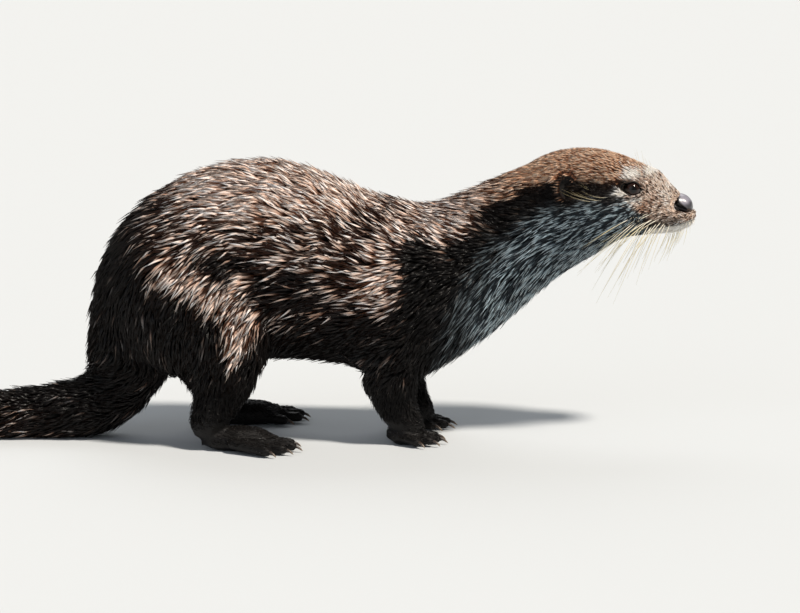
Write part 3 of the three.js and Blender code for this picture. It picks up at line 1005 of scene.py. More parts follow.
    def _bay(self, points: Array) -> Array:
        """Draws the muzzle back behind the nose, so that its sides stand free.

        Args:
            points: The skin's points.

        Returns:
            The skin with that bay.
        """
        middle, half = self.marks.nose_box()
        x, y, z = ((points - middle) / half).T
        deep = np.sqrt(np.maximum(1 - (y / 2.3) ** 2 - (z / (1.02 - 0.10 * x)) ** 2, 0))
        wall = 0.30 - 1.95 * deep
        inside = (x > wall) & (deep > 0)
        moved = points.copy()
        moved[:, 0] = middle[0] + wall * half[0]
        return np.where(inside[:, None], moved, points)

    def piece(self, material: Material) -> Piece:
        """The skin as a piece that stands for the flesh.

        Args:
            material: The skin's finish.

        Returns:
            The piece, with its markings, its painted sunlight and shade, and its map.
        """
        flesh = tuple(n for n in self.nodes if not n.startswith(BARE))
        keys = ("pale", "freckle", "lip", "dusk", "mouth", "bare", "sun", "warm")
        values = {key: self.values[key] for key in keys}
        return Piece("skin", self.surface, "coat", material, values, self._map(), flesh)

    def _map(self) -> Array:
        """Makes the skin's map: each part unrolled on a tile of its own.

        Returns:
            Places on the map, one row for each corner of each triangle.
        """
        uv = np.zeros((len(self.surface.faces), 3, 2))
        owner = self.labels[self.surface.faces[:, 0]]
        columns = 5
        rows = math.ceil(len(self.nodes) / columns)
        for number, name in enumerate(self.nodes):
            mine = owner == number
            if not mine.any():
                continue
            corners = self.surface.faces[mine]
            wrap = Unwrap(self.outline.points[np.unique(corners)], lie_of(name).run)
            turn, run = wrap.turn_and_run(self.outline.points[corners.ravel()])
            turn = turn.reshape(-1, 3) / (2 * math.pi) + 0.5
            turn += (turn.max(axis=1, keepdims=True) - turn > 0.5) * 1.0
            tile = np.array([number % columns, number // columns])
            place = np.stack([0.03 + 0.88 * turn, 0.04 + 0.92 * np.clip(run.reshape(-1, 3), 0, 1)], -1)
            uv[mine] = (tile + place) / (columns, rows)
        return uv.reshape(-1, 2)


@dataclass
class Markings:
    """Where the coat changes colour, and where sunlight and shade are painted on it, as numbers on the skin
    that the locks take over.

    Attributes:
        border_mm: Upper edge of the pale bib, as X and Z from the eye.
        blur_mm: Half the width of that edge.
        painted_shadow_top_mm: Upper edge of the painted shadow in the hollow of the neck, as X and Z from
            the eye.
        painted_shadow_front_mm: Front edge of it, as Z and X from the eye.
        groups: The parts of the body that share a marking; the third group darkens the lower limbs, partly
        for their own dark hair and partly as painted shade.
    """

    marks: Landmarks
    hide: Hide
    border_mm: tuple[Pair, ...] = (
        (-183, -170), (-174, -143), (-165, -119), (-154, -91), (-140, -65), (-114, -38), (-95, -25),
        (-76, -13), (-66, -8), (-45, -9), (-14, -8), (4, -16), (16, -27), (30, -33), (60, -32),
    )
    blur_mm: float = 5.0
    painted_shadow_top_mm: tuple[Pair, ...] = (
        (-206, -100), (-197, -72), (-194, -47), (-156, -58), (-138, -43), (-124, -20), (-70, 6),
    )
    painted_shadow_front_mm: tuple[Pair, ...] = (
        (-170, -128), (-140, -135), (-99, -141), (-52, -113), (-21, -94), (0, -76), (20, -60),
    )
    groups: tuple[tuple[str, ...], ...] = (
        ("upper_arm", "forearm", "forepaw", "thigh", "shank", "hind_foot"),
        ("forepaw", "hind_foot"),
        ("forearm", "forepaw", "shank", "hind_foot"),
        ("head", "lower_jaw", "nose", "eye"),
    )

    def __post_init__(self) -> None:
        """Takes the skin's corners, in metres and in millimetres from the right eye."""
        self.points = self.hide.outline.points
        self.from_eye = (self.points - self.marks.eye) / MM

    def paint(self) -> None:
        """Works out the markings, and the painted sunlight and shade, all over the skin."""
        values, ahead = self.hide.values, self.from_eye[:, 0]
        names = np.array([stem(name) for name in self.hide.nodes])[self.hide.labels]
        limb, bare, low, head = (
            self.hide.outline.spread(np.isin(names, group).astype(float), 14) for group in self.groups
        )
        over = self.from_eye[:, 2] - np.interp(ahead, *np.array(self.border_mm).T)
        pale = smoothstep(self.blur_mm, -self.blur_mm, over + 3.5 * waves(self.points, 0.018, 21))
        pale *= smoothstep(-186, -172, ahead) * (1 - limb)
        values["pale"] = pale
        values["freckle"] = self._freckle() * head
        cream = sum(patch.value * bell(patch.far(self.from_eye), 0, 1) for patch in CREAM.values())
        values["lip"] = np.clip(self._lip() + cream * head, 0, 1)
        # Darker hair and painted shade: painted shade round and behind the ears, the painted shadow in the
        # hollow of the neck, and the lower limbs darkened, partly for their own dark hair and partly as
        # painted shade.
        values["dusk"] = np.clip(self._dusk() + 0.84 * self._painted_neck_shadow() + low, 0, 1)
        values["warm"] = smoothstep(-150, -90, ahead) * (1 - pale)
        values["bare"] = bare
        # The share of pale tips, laid out as painted sunlight and shade.
        values["sun"] = painted_sun_on_tips(self.from_eye)

    def _over_lip(self) -> Array:
        """Height of each corner over the line of the lips."""
        return self.points[:, 2] - self.marks.lip_height(self.points[:, 0])

    def _freckle(self) -> Array:
        """Paints the speckled pale and brown hair on the muzzle, over the eyes and on the cheeks.

        Returns:
            The share of it at each corner.
        """
        muzzle = smoothstep(8, 24, self.from_eye[:, 0])
        near = smoothstep(0.022, 0.011, self.marks.from_eyes(self.points))
        near *= smoothstep(-12, 2, self.from_eye[:, 0])
        return np.clip(0.85 * muzzle + 0.9 * near, 0, 1)

    def _lip(self) -> Array:
        """Paints the cream edge of the lips and the chin.

        Returns:
            The share of cream hair at each corner.
        """
        high = self._over_lip()
        ahead = smoothstep(self.marks.corner - 0.004, self.marks.corner + 0.008, self.points[:, 0])
        return smoothstep(0.0012, -0.0006, high) * smoothstep(-0.017, -0.009, high) * ahead

    def _painted_neck_shadow(self) -> Array:
        """Paints the shadow of the head in the hollow between the neck's top, the bib and the shoulder, as
        blackish hair: painted shadow.

        Returns:
            The share of it at each corner.
        """
        x, _, z = (self.from_eye + 5 * waves(self.points, 0.02, 23)[:, None]).T
        under = smoothstep(5, -5, z - np.interp(x, *np.array(self.painted_shadow_top_mm).T))
        behind = smoothstep(16, -6, x - np.interp(z, *np.array(self.painted_shadow_front_mm).T))
        return under * behind * smoothstep(-200, -191, x)

    def _dusk(self) -> Array:
        """Darkens the hair round the ears and down behind them as painted shade, and along the upper lip
        and at the gape.

        Returns:
            How dark the hair is at each corner.
        """
        x, _, z = self.from_eye.T
        band = bell(z - 0.30 * x, 12, 11) * smoothstep(-128, -100, x) * smoothstep(-12, -28, x)
        lip = bell(self._over_lip(), 0.0050, 0.0034 + 0.003 * smoothstep(30, 5, x)) * smoothstep(52, 40, x)
        lip *= smoothstep(self.marks.corner - 0.012, self.marks.corner + 0.002, self.points[:, 0])
        gape = bell(x, 6, 13) * bell(z, -28, 8)
        ears = smoothstep(0.024, 0.009, from_ears(self.points))
        return np.clip(0.9 * ears + 0.75 * band + 0.8 * lip + 0.6 * gape, 0, 1)


# ---- the coat


class Ground:
    """The skin as the coat's ground: finds the nearest place on it and reads its numbers there."""

    def __init__(self, hide: Hide) -> None:
        """Takes over the skin.

        Args:
            hide: The skin, laid out and painted.
        """
        self.surface = hide.surface
        self.values = dict(hide.values, normal=hide.surface.normals())
        self.tree = BVHTree.FromPolygons(self.surface.points.tolist(), self.surface.faces.tolist())

    def land(self, points: Array) -> tuple[Array, Array]:
        """The nearest places on the skin to some points, and the triangles that they lie in."""
        found = [self.tree.find_nearest(Vector(p)) for p in points]
        return np.array([f[0] for f in found]), np.array([f[2] for f in found])

    def read(self, key: str, faces: Array) -> Array:
        """The mean of a number, or of a direction, over triangles."""
        return self.values[key][self.surface.faces[faces]].mean(axis=1)


@dataclass
class Locks:
    """Locks of hair, one row for each.

    Attributes:
        guide: Points along each lock's middle, from root to tip.
        across: Sideways direction at each of them.
        up: The direction away from the skin at each of them.
        width: Half the width of a strand at its root.
        spread: How far a lock's strands stand apart at their roots.
        spot: The lock's place on the map, from nought to one both ways.
        looks: Named numbers for the material.
    """

    guide: Array
    across: Array
    up: Array
    width: Array
    spread: Array
    spot: Array
    looks: dict[str, Array]


Hair = tuple[Surface, dict[str, Array], Array]


@dataclass
class Comb:
    """Turns locks into solid strands, each a closed spike of three sides.

    Attributes:
        strands: Strands in each lock.
        patch: Size of each lock's patch on the map.
        foot: Share of the patch that a strand's root takes.
        closing: Power by which the strands close up towards the tip.
        stray: How far tips stray, as a share of the lock's spread.
        least: Least height over the floor.
    """

    strands: int
    patch: float = 0.003
    foot: float = 0.04
    closing: float = 0.85
    stray: float = 0.10
    least: float = 0.0003
    seed: int = 5

    def shape(self, locks: Locks) -> Hair:
        """Makes the strands.

        Args:
            locks: The locks.

        Returns:
            Their surface, the numbers of its corners and its map.
        """
        rng = np.random.default_rng(self.seed)
        count, steps = locks.guide.shape[:2]
        share = np.linspace(0, 1, steps)
        size = (count, self.strands)
        single = self.strands == 1
        lane = np.zeros(1) if single else np.linspace(-1, 1, self.strands)
        aside = (lane + rng.uniform(-0.35, 0.35, size)) * locks.spread[:, None] * (0 if single else 1)
        behind = rng.uniform(-1.1, 1.1, size) * locks.spread[:, None]
        heights = rng.uniform(-0.25, 0.35, size) * locks.width[:, None]
        strays = rng.normal(0, self.stray, size) * locks.spread[:, None]
        close = (1 - share) ** self.closing
        sideways = aside[..., None] * close + strays[..., None] * share
        middle = (
            locks.guide[:, None]
            + sideways[..., None] * locks.across[:, None]
            + (behind[..., None] * close)[..., None] * unit(np.gradient(locks.guide, axis=1))[:, None]
            + heights[..., None, None] * locks.up[:, None]
        )
        thick = locks.width[:, None] * rng.uniform(0.8, 1.25, size) * (1.65 - 0.75 * np.abs(lane))
        taper = np.interp(share[:-1], [0, 0.5, 0.8], [1.0, 0.90, 0.55])
        wide = thick[..., None, None] * taper[:, None] * np.array([-1.0, 1.0, 0.0])
        tall = thick[..., None, None] * taper[:, None] * np.array([-0.35, -0.35, 0.75])
        rings = (
            middle[:, :, :-1, None]
            + wide[..., None] * locks.across[:, None, :-1, None]
            + tall[..., None] * locks.up[:, None, :-1, None]
        )
        corners = (steps - 1) * 3 + 1
        points = np.concatenate([rings.reshape(*size, -1, 3), middle[:, :, -1:]], axis=2)
        points[..., 2] = np.maximum(points[..., 2], self.least)
        one, flat = self._spike(steps - 1)
        starts = np.arange(count * self.strands)[:, None, None] * corners
        faces = (one[None] + starts).reshape(-1, 3)
        at = np.concatenate([np.repeat(share[:-1], 3), [1.0]])
        looks = {"along": np.tile(at, count * self.strands)}
        for key, numbers in locks.looks.items():
            looks[key] = np.repeat(numbers, self.strands * corners)
        return Surface(points.reshape(-1, 3), faces), looks, self._map(locks, flat)

    def _spike(self, rings: int) -> tuple[Array, Array]:
        """Makes one strand's triangles: a closed foot, sides in bands, and the tip.

        Args:
            rings: Rings of three corners below the tip.

        Returns:
            The triangles, and the place of each of their corners on a unit patch.
        """
        faces, flat = [(0, 2, 1)], [((0.0, 0.0), (1.0, 0.0), (0.5, self.foot))]
        for ring in range(rings):
            low, high = ring * 3, ring * 3 + 3
            v0, v1 = (self.foot + (1 - self.foot) * (ring + up) / rings for up in (0, 1))
            for j in range(3):
                n = (j + 1) % 3
                u0, u1 = j / 3, (j + 1) / 3
                if ring == rings - 1:
                    faces.append((low + j, low + n, high))
                    flat.append(((u0, v0), (u1, v0), ((u0 + u1) / 2, v1)))
                else:
                    faces += [(low + j, low + n, high + n), (low + j, high + n, high + j)]
                    flat += [((u0, v0), (u1, v0), (u1, v1)), ((u0, v0), (u1, v1), (u0, v1))]
        return np.array(faces), np.array(flat)

    def _map(self, locks: Locks, flat: Array) -> Array:
        """Lays each lock on its patch, strand beside strand.

        Args:
            locks: The locks.
            flat: Places of one strand's corners on a unit patch.

        Returns:
            Places on the map, one row for each corner of each triangle.
        """
        lane = np.arange(self.strands)[:, None, None, None]
        inner = np.repeat(flat[None], self.strands, axis=0)
        inner = np.concatenate([(inner[..., :1] + lane) / self.strands, inner[..., 1:]], axis=-1)
        spot = np.clip(locks.spot, 0, 1)[:, None, None, None] * (1 - self.patch)
        return (spot + inner[None] * self.patch).reshape(-1, 2)


@dataclass
class Coat:
    """The coat: locks of wet guard hair over the skin, piece by piece.

    Attributes:
        steps: Points along a lock.
        lengths: The shortest and the longest lock, as a share of the lie's length.
        swerves: How far locks swerve together, and each alone, in radians.
        standing: The share of locks that stand up, and how much higher they reach.
        foot: Depth of a lock's root under the skin.
        groups: The nodes that each piece of the coat covers.
    """

    hide: Hide
    marks: Landmarks
    seed: int = 11
    steps: int = 3
    lengths: Pair = (0.72, 1.22)
    swerves: Pair = (0.24, 0.14)
    standing: Pair = (0.16, 1.28)
    foot: float = 0.0003
    groups: dict[str, tuple[str, ...]] = field(
        default_factory=lambda: {
            "head": ("head", "lower_jaw"),
            "neck": ("neck",),
            "chest": ("chest",),
            "loin": ("loin",),
            "rump": ("rump",),
            "tail_root": ("tail_root",),
            "tail_end": ("tail_middle", "tail_tip"),
            "upper_arm": ("upper_arm",),
            "forepaw": ("forearm", "forepaw"),
            "thigh": ("thigh",),
            "hind_foot": ("shank", "hind_foot"),
        }
    )

    def __post_init__(self) -> None:
        """Readies the ground and the chance numbers."""
        self.ground = Ground(self.hide)
        self.rng = np.random.default_rng(self.seed)

    def build(self, material: Material) -> list[Piece]:
        """Grows the whole coat.

        Args:
            material: The hair's finish.

        Returns:
            Its pieces.
        """
        pieces = []
        for group, stems in self.groups.items():
            whole = group.startswith("tail")
            for side_name, side in SIDES.items():
                if whole and side > 0:
                    continue
                name = f"coat_{group}" if whole else f"coat_{group}_{side_name}"
                made = [self._covered(part, 0 if whole else side) for part in stems]
                made = [m for m in made if m is not None]
                pieces.append(self._gathered(name, made, material))
        return pieces

    def _gathered(self, name: str, made: list[Hair], material: Material) -> Piece:
        """Joins the hair of several nodes to one piece, with its map in bands.

        Args:
            name: The piece's name.
            made: Surface, looks and map of each node's hair.
            material: The hair's finish.

        Returns:
            The piece.
        """
        looks = {key: np.concatenate([m[1][key] for m in made]) for key in made[0][1]}
        maps = [(m[2] + (0, i)) / (1, len(made)) for i, m in enumerate(made)]
        return Piece(name, merged([m[0] for m in made]), "coat", material, looks, np.concatenate(maps))

    def _covered(self, part: str, side: float) -> Hair | None:
        """Covers one node, or the half of it on one side, with hair.

        Args:
            part: The node's name without its side.
            side: -1 for the right half, 1 for the left one, 0 for all.

        Returns:
            Surface, looks and map, or nothing where no lock stands.
        """
        numbers = [i for i, name in enumerate(self.hide.nodes) if stem(name) == part]
        if part == "head":
            numbers += [i for i, name in enumerate(self.hide.nodes) if name.startswith(("eye", "nose"))]
        surface = self.ground.surface
        faces = surface.faces
        mine = np.isin(self.hide.labels[faces[:, 0]], numbers)
        if side:
            middles = surface.points[faces].mean(axis=1)
            mine &= (middles[:, 1] - self.marks.middle) * side > 0
        lie = LIES[part]
        roots, where = self._roots(np.flatnonzero(mine), lie)
        keep = self._allowed(roots, where, part)
        roots, where = roots[keep], where[keep]
        if not len(roots):
            return None
        wrap = Unwrap(surface.points[np.unique(faces[mine])], lie.run)
        locks = self._locks(roots, where, wrap)
        return Comb(lie.strands).shape(locks)

    def _roots(self, mine: Array, lie: Lie) -> tuple[Array, Array]:
        """Scatters roots, at most one in each cell of the spacing.

        Args:
            mine: The triangles to cover.
            lie: The lie of the coat there.

        Returns:
            Places of the roots and the triangles that they stand in.
        """
        rng, surface = self.rng, self.ground.surface
        corners = surface.points[surface.faces[mine]]
        edges = corners[:, 1:] - corners[:, :1]
        areas = np.linalg.norm(np.cross(edges[:, 0], edges[:, 1]), axis=1)
        cell = lie.spacing_mm * MM
        count = int(areas.sum() / 2 / cell**2 * 9)
        pick = rng.choice(len(mine), count, p=areas / areas.sum())
        u, v = rng.random(count), rng.random(count)
        over = u + v > 1
        u[over], v[over] = 1 - u[over], 1 - v[over]
        a, b, c = (corners[pick, i] for i in range(3))
        places = a + u[:, None] * (b - a) + v[:, None] * (c - a)
        cells = np.floor((places + rng.uniform(0, cell, 3)) / (cell * 1.12)).astype(np.int64)
        _, first = np.unique(cells @ np.array([1, 4096, 4096**2]), return_index=True)
        return places[first], mine[pick[first]]

    def _allowed(self, roots: Array, where: Array, part: str) -> Array:
        """Keeps hair out of the mouth and the eyes, and off the nose and the soles.

        Args:
            roots: Places of the roots.
            where: The triangles that they stand in.
            part: The node's name without its side.

        Returns:
            True for each root that may grow hair.
        """
        marks, ground = self.marks, self.ground
        keep = ground.read("mouth", where) < 0.35
        for side in SIDES.values():
            out, ahead, up = ((roots - marks.eye_at(side)) @ marks.eye_axes(side).T).T
            keep &= (marks.opening(ahead, up)[0] > 1.22) | (out < -0.004)
        middle, half = marks.nose_box()
        keep &= np.linalg.norm((roots - middle) / (half + 0.0004), axis=1) > 1
        if part in ("forepaw", "hind_foot"):
            keep &= ground.read("normal", where)[:, 2] > -0.1
        return keep

    def _locks(self, roots: Array, where: Array, wrap: Unwrap) -> Locks:
        """Lays a lock down the skin from each root.

        Args:
            roots: Places of the roots.
            where: The triangles that they stand in.
            wrap: The map of the part.

        Returns:
            The locks.
        """
        ground, rng, count = self.ground, self.rng, len(roots)
        depth, lift = ground.read("depth", where), ground.read("lift", where)
        length = ground.read("length", where) * rng.uniform(*self.lengths, count)
        length *= 1 + 0.12 * waves(roots, 0.03, 31)
        sleek = 1 - 0.45 * np.maximum(ground.read("pale", where), ground.read("warm", where))
        swerve = (self.swerves[0] * waves(roots, 0.028, 32) + rng.normal(0, self.swerves[1], count)) * sleek
        rise = lift * rng.normal(1.0, 0.15, count)
        rise *= np.where(rng.random(count) < self.standing[0], self.standing[1], 1.0)
        at, place, face = roots, [], []
        for step in range(self.steps):
            normal = unit(ground.read("normal", where))
            way = flat_to(ground.read("way", where), normal)
            turned = np.cos(swerve)[:, None] * way + np.sin(swerve)[:, None] * np.cross(normal, way)
            share = step / (self.steps - 1)
            bowed = math.sin(share * math.pi / 2) ** 1.2
            high = depth * rise * bowed - self.foot * (1 - share)
            place.append(at + normal * high[:, None])
            face.append((normal, np.cross(normal, turned)))
            if step < self.steps - 1:
                at, where = ground.land(at + turned * (length / (self.steps - 1))[:, None])
        up, across = (np.stack([f[i] for f in face], axis=1) for i in range(2))
        turn, run = wrap.turn_and_run(roots)
        span = (turn - turn.min()) / max(np.ptp(turn), 1e-6)
        spread = 0.32 * np.clip(length * 0.2, 0.0004, 0.0030) * (1 - 0.35 * ground.read("pale", where))
        width = ground.read("width", where)
        first = ground.land(roots)[1]
        keys = ("pale", "freckle", "lip", "dusk", "bare", "sun", "warm")
        looks = {key: ground.read(key, first) for key in keys}
        # Pale tips follow the painted sunlight: many where light falls, few in painted shade.
        tipped = 0.84 * looks["sun"] ** 2.1 + 0.14 * waves(roots, 0.014, 41)
        tipped += looks["pale"] * (0.42 - tipped)
        tipped += looks["freckle"] * (0.80 + 0.85 * waves(roots, 0.0044, 43) - tipped)
        chosen = (rng.random(count) < 1.15 * looks["lip"]).astype(float)
        looks["lip"] = 0.3 * looks["lip"] + 0.7 * chosen
        looks |= {"tone": rng.random(count), "tipped": smoothstep(-0.05, 0.05, tipped - rng.random(count))}
        return Locks(np.stack(place, 1), across, up, width, spread, np.stack([span, run], 1), looks)


# ---- face, ears and claws


@dataclass
class Eye:
    """One eye: a round glossy ball, with its dark iris round the pupil."""

    marks: Landmarks
    side: float

    def ball(self, material: Material, name: str) -> Piece:
        """The eyeball.

        Args:
            material: The eye's finish.
            name: The piece's name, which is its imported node's with "ball" for "eye".

        Returns:
            The piece.
        """
        ways, faces = ball(40, 48)
        bulge = 1 + 0.045 * smoothstep(0.72, 0.95, ways[:, 0])
        size = bulge[:, None] * self.marks.eye_radius * 0.97
        points = self.marks.eye_at(self.side) + (ways * size) @ self.marks.eye_axes(self.side)
        if self.side < 0:
            faces = faces[:, ::-1]
        iris = np.degrees(np.arccos(np.clip(ways[:, 0], -1, 1))) / 90
        stands_for = (name.replace("ball", "eye"),)
        return Piece(name, Surface(points, faces), "eye", material, {"iris": iris}, None, stands_for)

    def lids(self, material: Material, name: str) -> Piece:
        """The lids: a dark rolled rim round the opening, which runs back under the skin.

        Args:
            material: The lids' finish.
            name: The piece's name.

        Returns:
            The piece.
        """
        around, radius = 96, self.marks.eye_radius
        turn = np.arange(around) / around * 2 * math.pi
        edge = self.marks.opening(np.cos(turn), np.sin(turn))[1]
        seat = np.sqrt(np.maximum(radius**2 - edge**2, 0))
        lifts = np.array([-1.2, -0.25, 0.30, 0.70, 0.85, 0.80, 0.55, -0.2, -1.6]) * MM
        shares = np.array([0.99, 0.985, 1.0, 1.03, 1.08, 1.15, 1.24, 1.36, 1.5])
        rings = [
            np.stack([seat + lift, share * edge * np.cos(turn), share * edge * np.sin(turn)], 1)
            for lift, share in zip(lifts, shares)
        ]
        points = np.concatenate(rings) @ self.marks.eye_axes(self.side) + self.marks.eye_at(self.side)
        faces = bands(len(rings), around)
        if self.side > 0:
            faces = faces[:, ::-1]
        fur = np.repeat(smoothstep(1.10, 1.26, shares), around)
        return Piece(name, Surface(points, faces), "skin", material, {"fur": fur})


@dataclass
class Nose:
    """The nose: a bare pad with two side-slit nostrils and a cleft between them.

    Attributes:
        pit_mm: Depth of a nostril.
        wing_mm: How far the wings of the nostrils reach back.
        cleft_mm: Depth of the cleft.
        rim_mm: Height of a nostril's rim.
        shear: How far the top leans back, and the front down, as a share of half the size.
        slit: Ends of a nostril: the turn aside in radians, and the height as a share of half the pad's.
        slit_half: Half the nostril's width at its rear end, and how much it narrows ahead.
    """

    marks: Landmarks
    pit_mm: float = 4.2
    wing_mm: float = 5.2
    cleft_mm: float = 0.9
    rim_mm: float = 0.5
    shear: Pair = (0.10, 0.26)
    slit: tuple[Pair, ...] = ((2.16, 0.22), (1.38, -0.36))
    slit_half: Pair = (0.44, 0.26)

    def build(self, material: Material) -> Piece:
        """Makes the pad.

        Args:
            material: Its finish.

        Returns:
            The piece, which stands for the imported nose.
        """
        ways, faces = ball(110, 144)
        middle, half = self.marks.nose_box()
        squared = np.sign(ways) * np.abs(ways) ** np.array([0.78, 0.82, 0.86])
        squared /= np.linalg.norm(squared, axis=1, keepdims=True) ** 0.55
        shape = squared * half
        x, y, z = (squared[:, k] for k in range(3))
        shape[:, 1] *= 1 - 0.22 * smoothstep(0.0, -1.0, z)
        shape[:, 0] -= half[0] * self.shear[0] * z
        shape[:, 2] -= half[2] * self.shear[1] * x
        wings = smoothstep(0.30, 0.85, np.abs(y)) * bell(z, 0.05, 0.55)
        shape[:, 0] -= self.wing_mm * MM * wings * smoothstep(0.5, -0.4, x)
        rim, pits = self._nostrils(x, y, z)
        cleft = bell(y, 0, 0.055) * smoothstep(0.30, -0.30, z) * (x > 0)
        deep = (self.pit_mm * pits + self.cleft_mm * cleft - self.rim_mm * rim) * MM
        shape -= unit(shape) * deep[:, None]
        surface = Surface(shape + middle, faces)
        # A painted sheen: lighter on the top and in a strip down the front, where light glints on the wet
        # pad.
        painted_sheen = smoothstep(0.0, 0.5, z) * (1 - smoothstep(0.35, 0.85, x) * smoothstep(0.75, 0.35, z))
        sheen_strip = bell(x, 0.14, 0.18) * smoothstep(-0.75, -0.25, z)
        looks = {"pit": pits, "cleft": cleft, "painted_sheen": np.clip(painted_sheen + 0.55 * sheen_strip, 0, 1) * (1 - rim)}
        return Piece("nose_pad", surface, "nose_leather", material, looks, None, ("nose",))

    def _nostrils(self, x: Array, y: Array, z: Array) -> tuple[Array, Array]:
        """Finds the nostrils.

        Args:
            x: Places on the pad ahead, with the pad's edge at one.
            y: The same aside.
            z: The same upward.

        Returns:
            How far each place belongs to a swollen rim, and to the comma-shaped opening.
        """
        place = np.stack([np.arctan2(np.abs(y), x), z], 1)
        rear, front = np.array(self.slit)
        share = np.clip((place - rear) @ (front - rear) / np.sum((front - rear) ** 2), 0, 1)
        away = np.linalg.norm(place - rear - share[:, None] * (front - rear), axis=1)
        away /= self.slit_half[0] - self.slit_half[1] * share
        pits = smoothstep(1.0, 0.55, away)
        return smoothstep(1.7, 1.0, away) * (1 - pits), pits


@dataclass
class Ear:
    """One ear: a small round fold that opens ahead, with its front edge sunk in the coat.

    Attributes:
        side: -1 for the right ear and 1 for the left one.
        name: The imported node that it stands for.
        sink_mm: Depth of the hollow.
        seat_mm: How far the fold is sunk towards the head.
        fringe: Locks round the rim and over it.
    """

    side: float
    name: str
    sink_mm: float = 4.2
    seat_mm: float = 1.6
    fringe: int = 230

    def axes(self) -> Array:
        """The ear's own axes: out of the hollow, ahead and up."""
        return axes_from(np.array([0.46, self.side * 0.87, 0.10]), np.array([1.0, 0, 0.20]))

    def _middle(self) -> Array:
        """Middle of the fold."""
        return centre(self.name) - self.axes()[0] * self.seat_mm * MM

    def _half(self) -> Array:
        """Half its length and half its height."""
        low, high = (np.array(c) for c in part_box(self.name))
        return (high - low)[[0, 2]] / 2 * 0.98

    def _rim(self, turn: Array) -> Array:
        """How far the rim stands out: most at the rear and the top, and least in front and below."""
        rear = np.cos(turn - math.radians(140))
        return (0.6 + 2.8 * np.maximum(rear, 0) - 2.6 * np.maximum(-rear, 0)) * MM

    def build(self, material: Material) -> Piece:
        """Makes the fold.

        Args:
            material: Its finish.

        Returns:
            The piece.
        """
        ways, faces = ball(40, 64)
        axes = self.axes()
        reach, turn = np.hypot(ways[:, 1], ways[:, 2]), np.arctan2(ways[:, 2], ways[:, 1])
        front = ways[:, 0] > 0
        rim = self._rim(turn) * reach**4
        hollow = self.sink_mm * MM * (1 - reach**2.4)
        cup = np.where(front, rim - hollow, rim - 0.0009 - 0.0048 * np.abs(ways[:, 0]))
        flat = np.column_stack([cup, ways[:, 1:] * self._half()])
        if np.dot(np.cross(axes[1], axes[2]), axes[0]) < 0:
            faces = faces[:, ::-1]
        # inside: how far into the cup, which the finish darkens as painted shade.
        looks = {"inside": np.where(front, smoothstep(0.99, 0.80, reach), 0.0)}
        shape = Surface(self._middle() + flat @ axes, faces)
        return Piece(f"ear_cup_{self.name[4:]}", shape, "skin", material, looks, None, (self.name,))

    def tufts(self, material: Material) -> Piece:
        """Hair swept back over the rim, and the crown's longer hair that hangs over the top of it.

        Args:
            material: The hair's finish.

        Returns:
            The piece.
        """
        rng = np.random.default_rng(17)
        count = self.fringe
        over = rng.random(count) < 0.45
        turn = np.radians(np.where(over, rng.uniform(20, 135, count), rng.uniform(95, 290, count)))
        reach = np.where(over, rng.uniform(1.0, 1.45, count), rng.uniform(0.86, 1.04, count))
        axes = self.axes()
        radial = np.stack([np.cos(turn), np.sin(turn)], 1)
        out = np.where(over, -0.0012, self._rim(turn) - 0.0010)
        roots = self._middle() + np.column_stack([out, reach[:, None] * radial * self._half()]) @ axes
        spokes = unit(np.column_stack([0 * turn, radial]) @ axes)
        swept = np.where(over[:, None], (-0.85, 0.12 * self.side, -0.42), (-1, 0, -0.15))
        ways = unit(swept + 0.22 * spokes + rng.normal(0, 0.16, (count, 3)))
        length = np.where(over, rng.uniform(6.5, 11.0, count), rng.uniform(4.0, 8.0, count)) * MM
        share = np.linspace(0, 1, 3)[None, :, None]
        guide = roots[:, None] + ways[:, None] * length[:, None, None] * share
        guide += 0.0016 * axes[0] * np.sin(share * math.pi / 2) - 0.0024 * axes[0] * share**2
        across = np.repeat(unit(np.cross(axes[0], ways))[:, None], 3, axis=1)
        up = np.cross(ways[:, None], across)
        looks = {key: np.zeros(count) for key in ("pale", "freckle", "lip", "bare")}
        # The rim's hair is half darkened as painted shade, with half the painted sunlight; the hair over it
        # has the crown's painted sunlight.
        looks |= {"dusk": np.where(over, 0.0, 0.5), "sun": np.where(over, 0.9, 0.5), "warm": np.ones(count)}
        looks["tone"] = rng.random(count)
        looks["tipped"] = (rng.random(count) < np.where(over, 0.5, 0.2)).astype(float)
        spot = np.stack([turn / (2 * math.pi), reach / 1.5], 1)
        width, spread = np.full(count, 0.24 * MM), np.full(count, 0.5 * MM)
        made = Comb(3).shape(Locks(guide, across, up, width, spread, spot, looks))
        return Piece(f"coat_ear_{self.name[4:]}", made[0], "coat", material, made[1], made[2])


@dataclass(frozen=True)
class WhiskerRow:
    """A row of whiskers on one side of the face, in millimetres back from the nose's tip.

    Attributes:
        start: X and height over the lip line of the row's front whisker.
        end: The same for its rear one.
        count: Whiskers in it.
        lengths: Length of the front and of the rear whisker.
        aim: Direction where a whisker leaves the skin, for the left side.
        droop: How its far part bends away from that.
        girth: Radius at the root.
    """

    start: Pair
    end: Pair
    count: int
    lengths: Pair
    aim: Triple
    droop: Triple
    girth: float


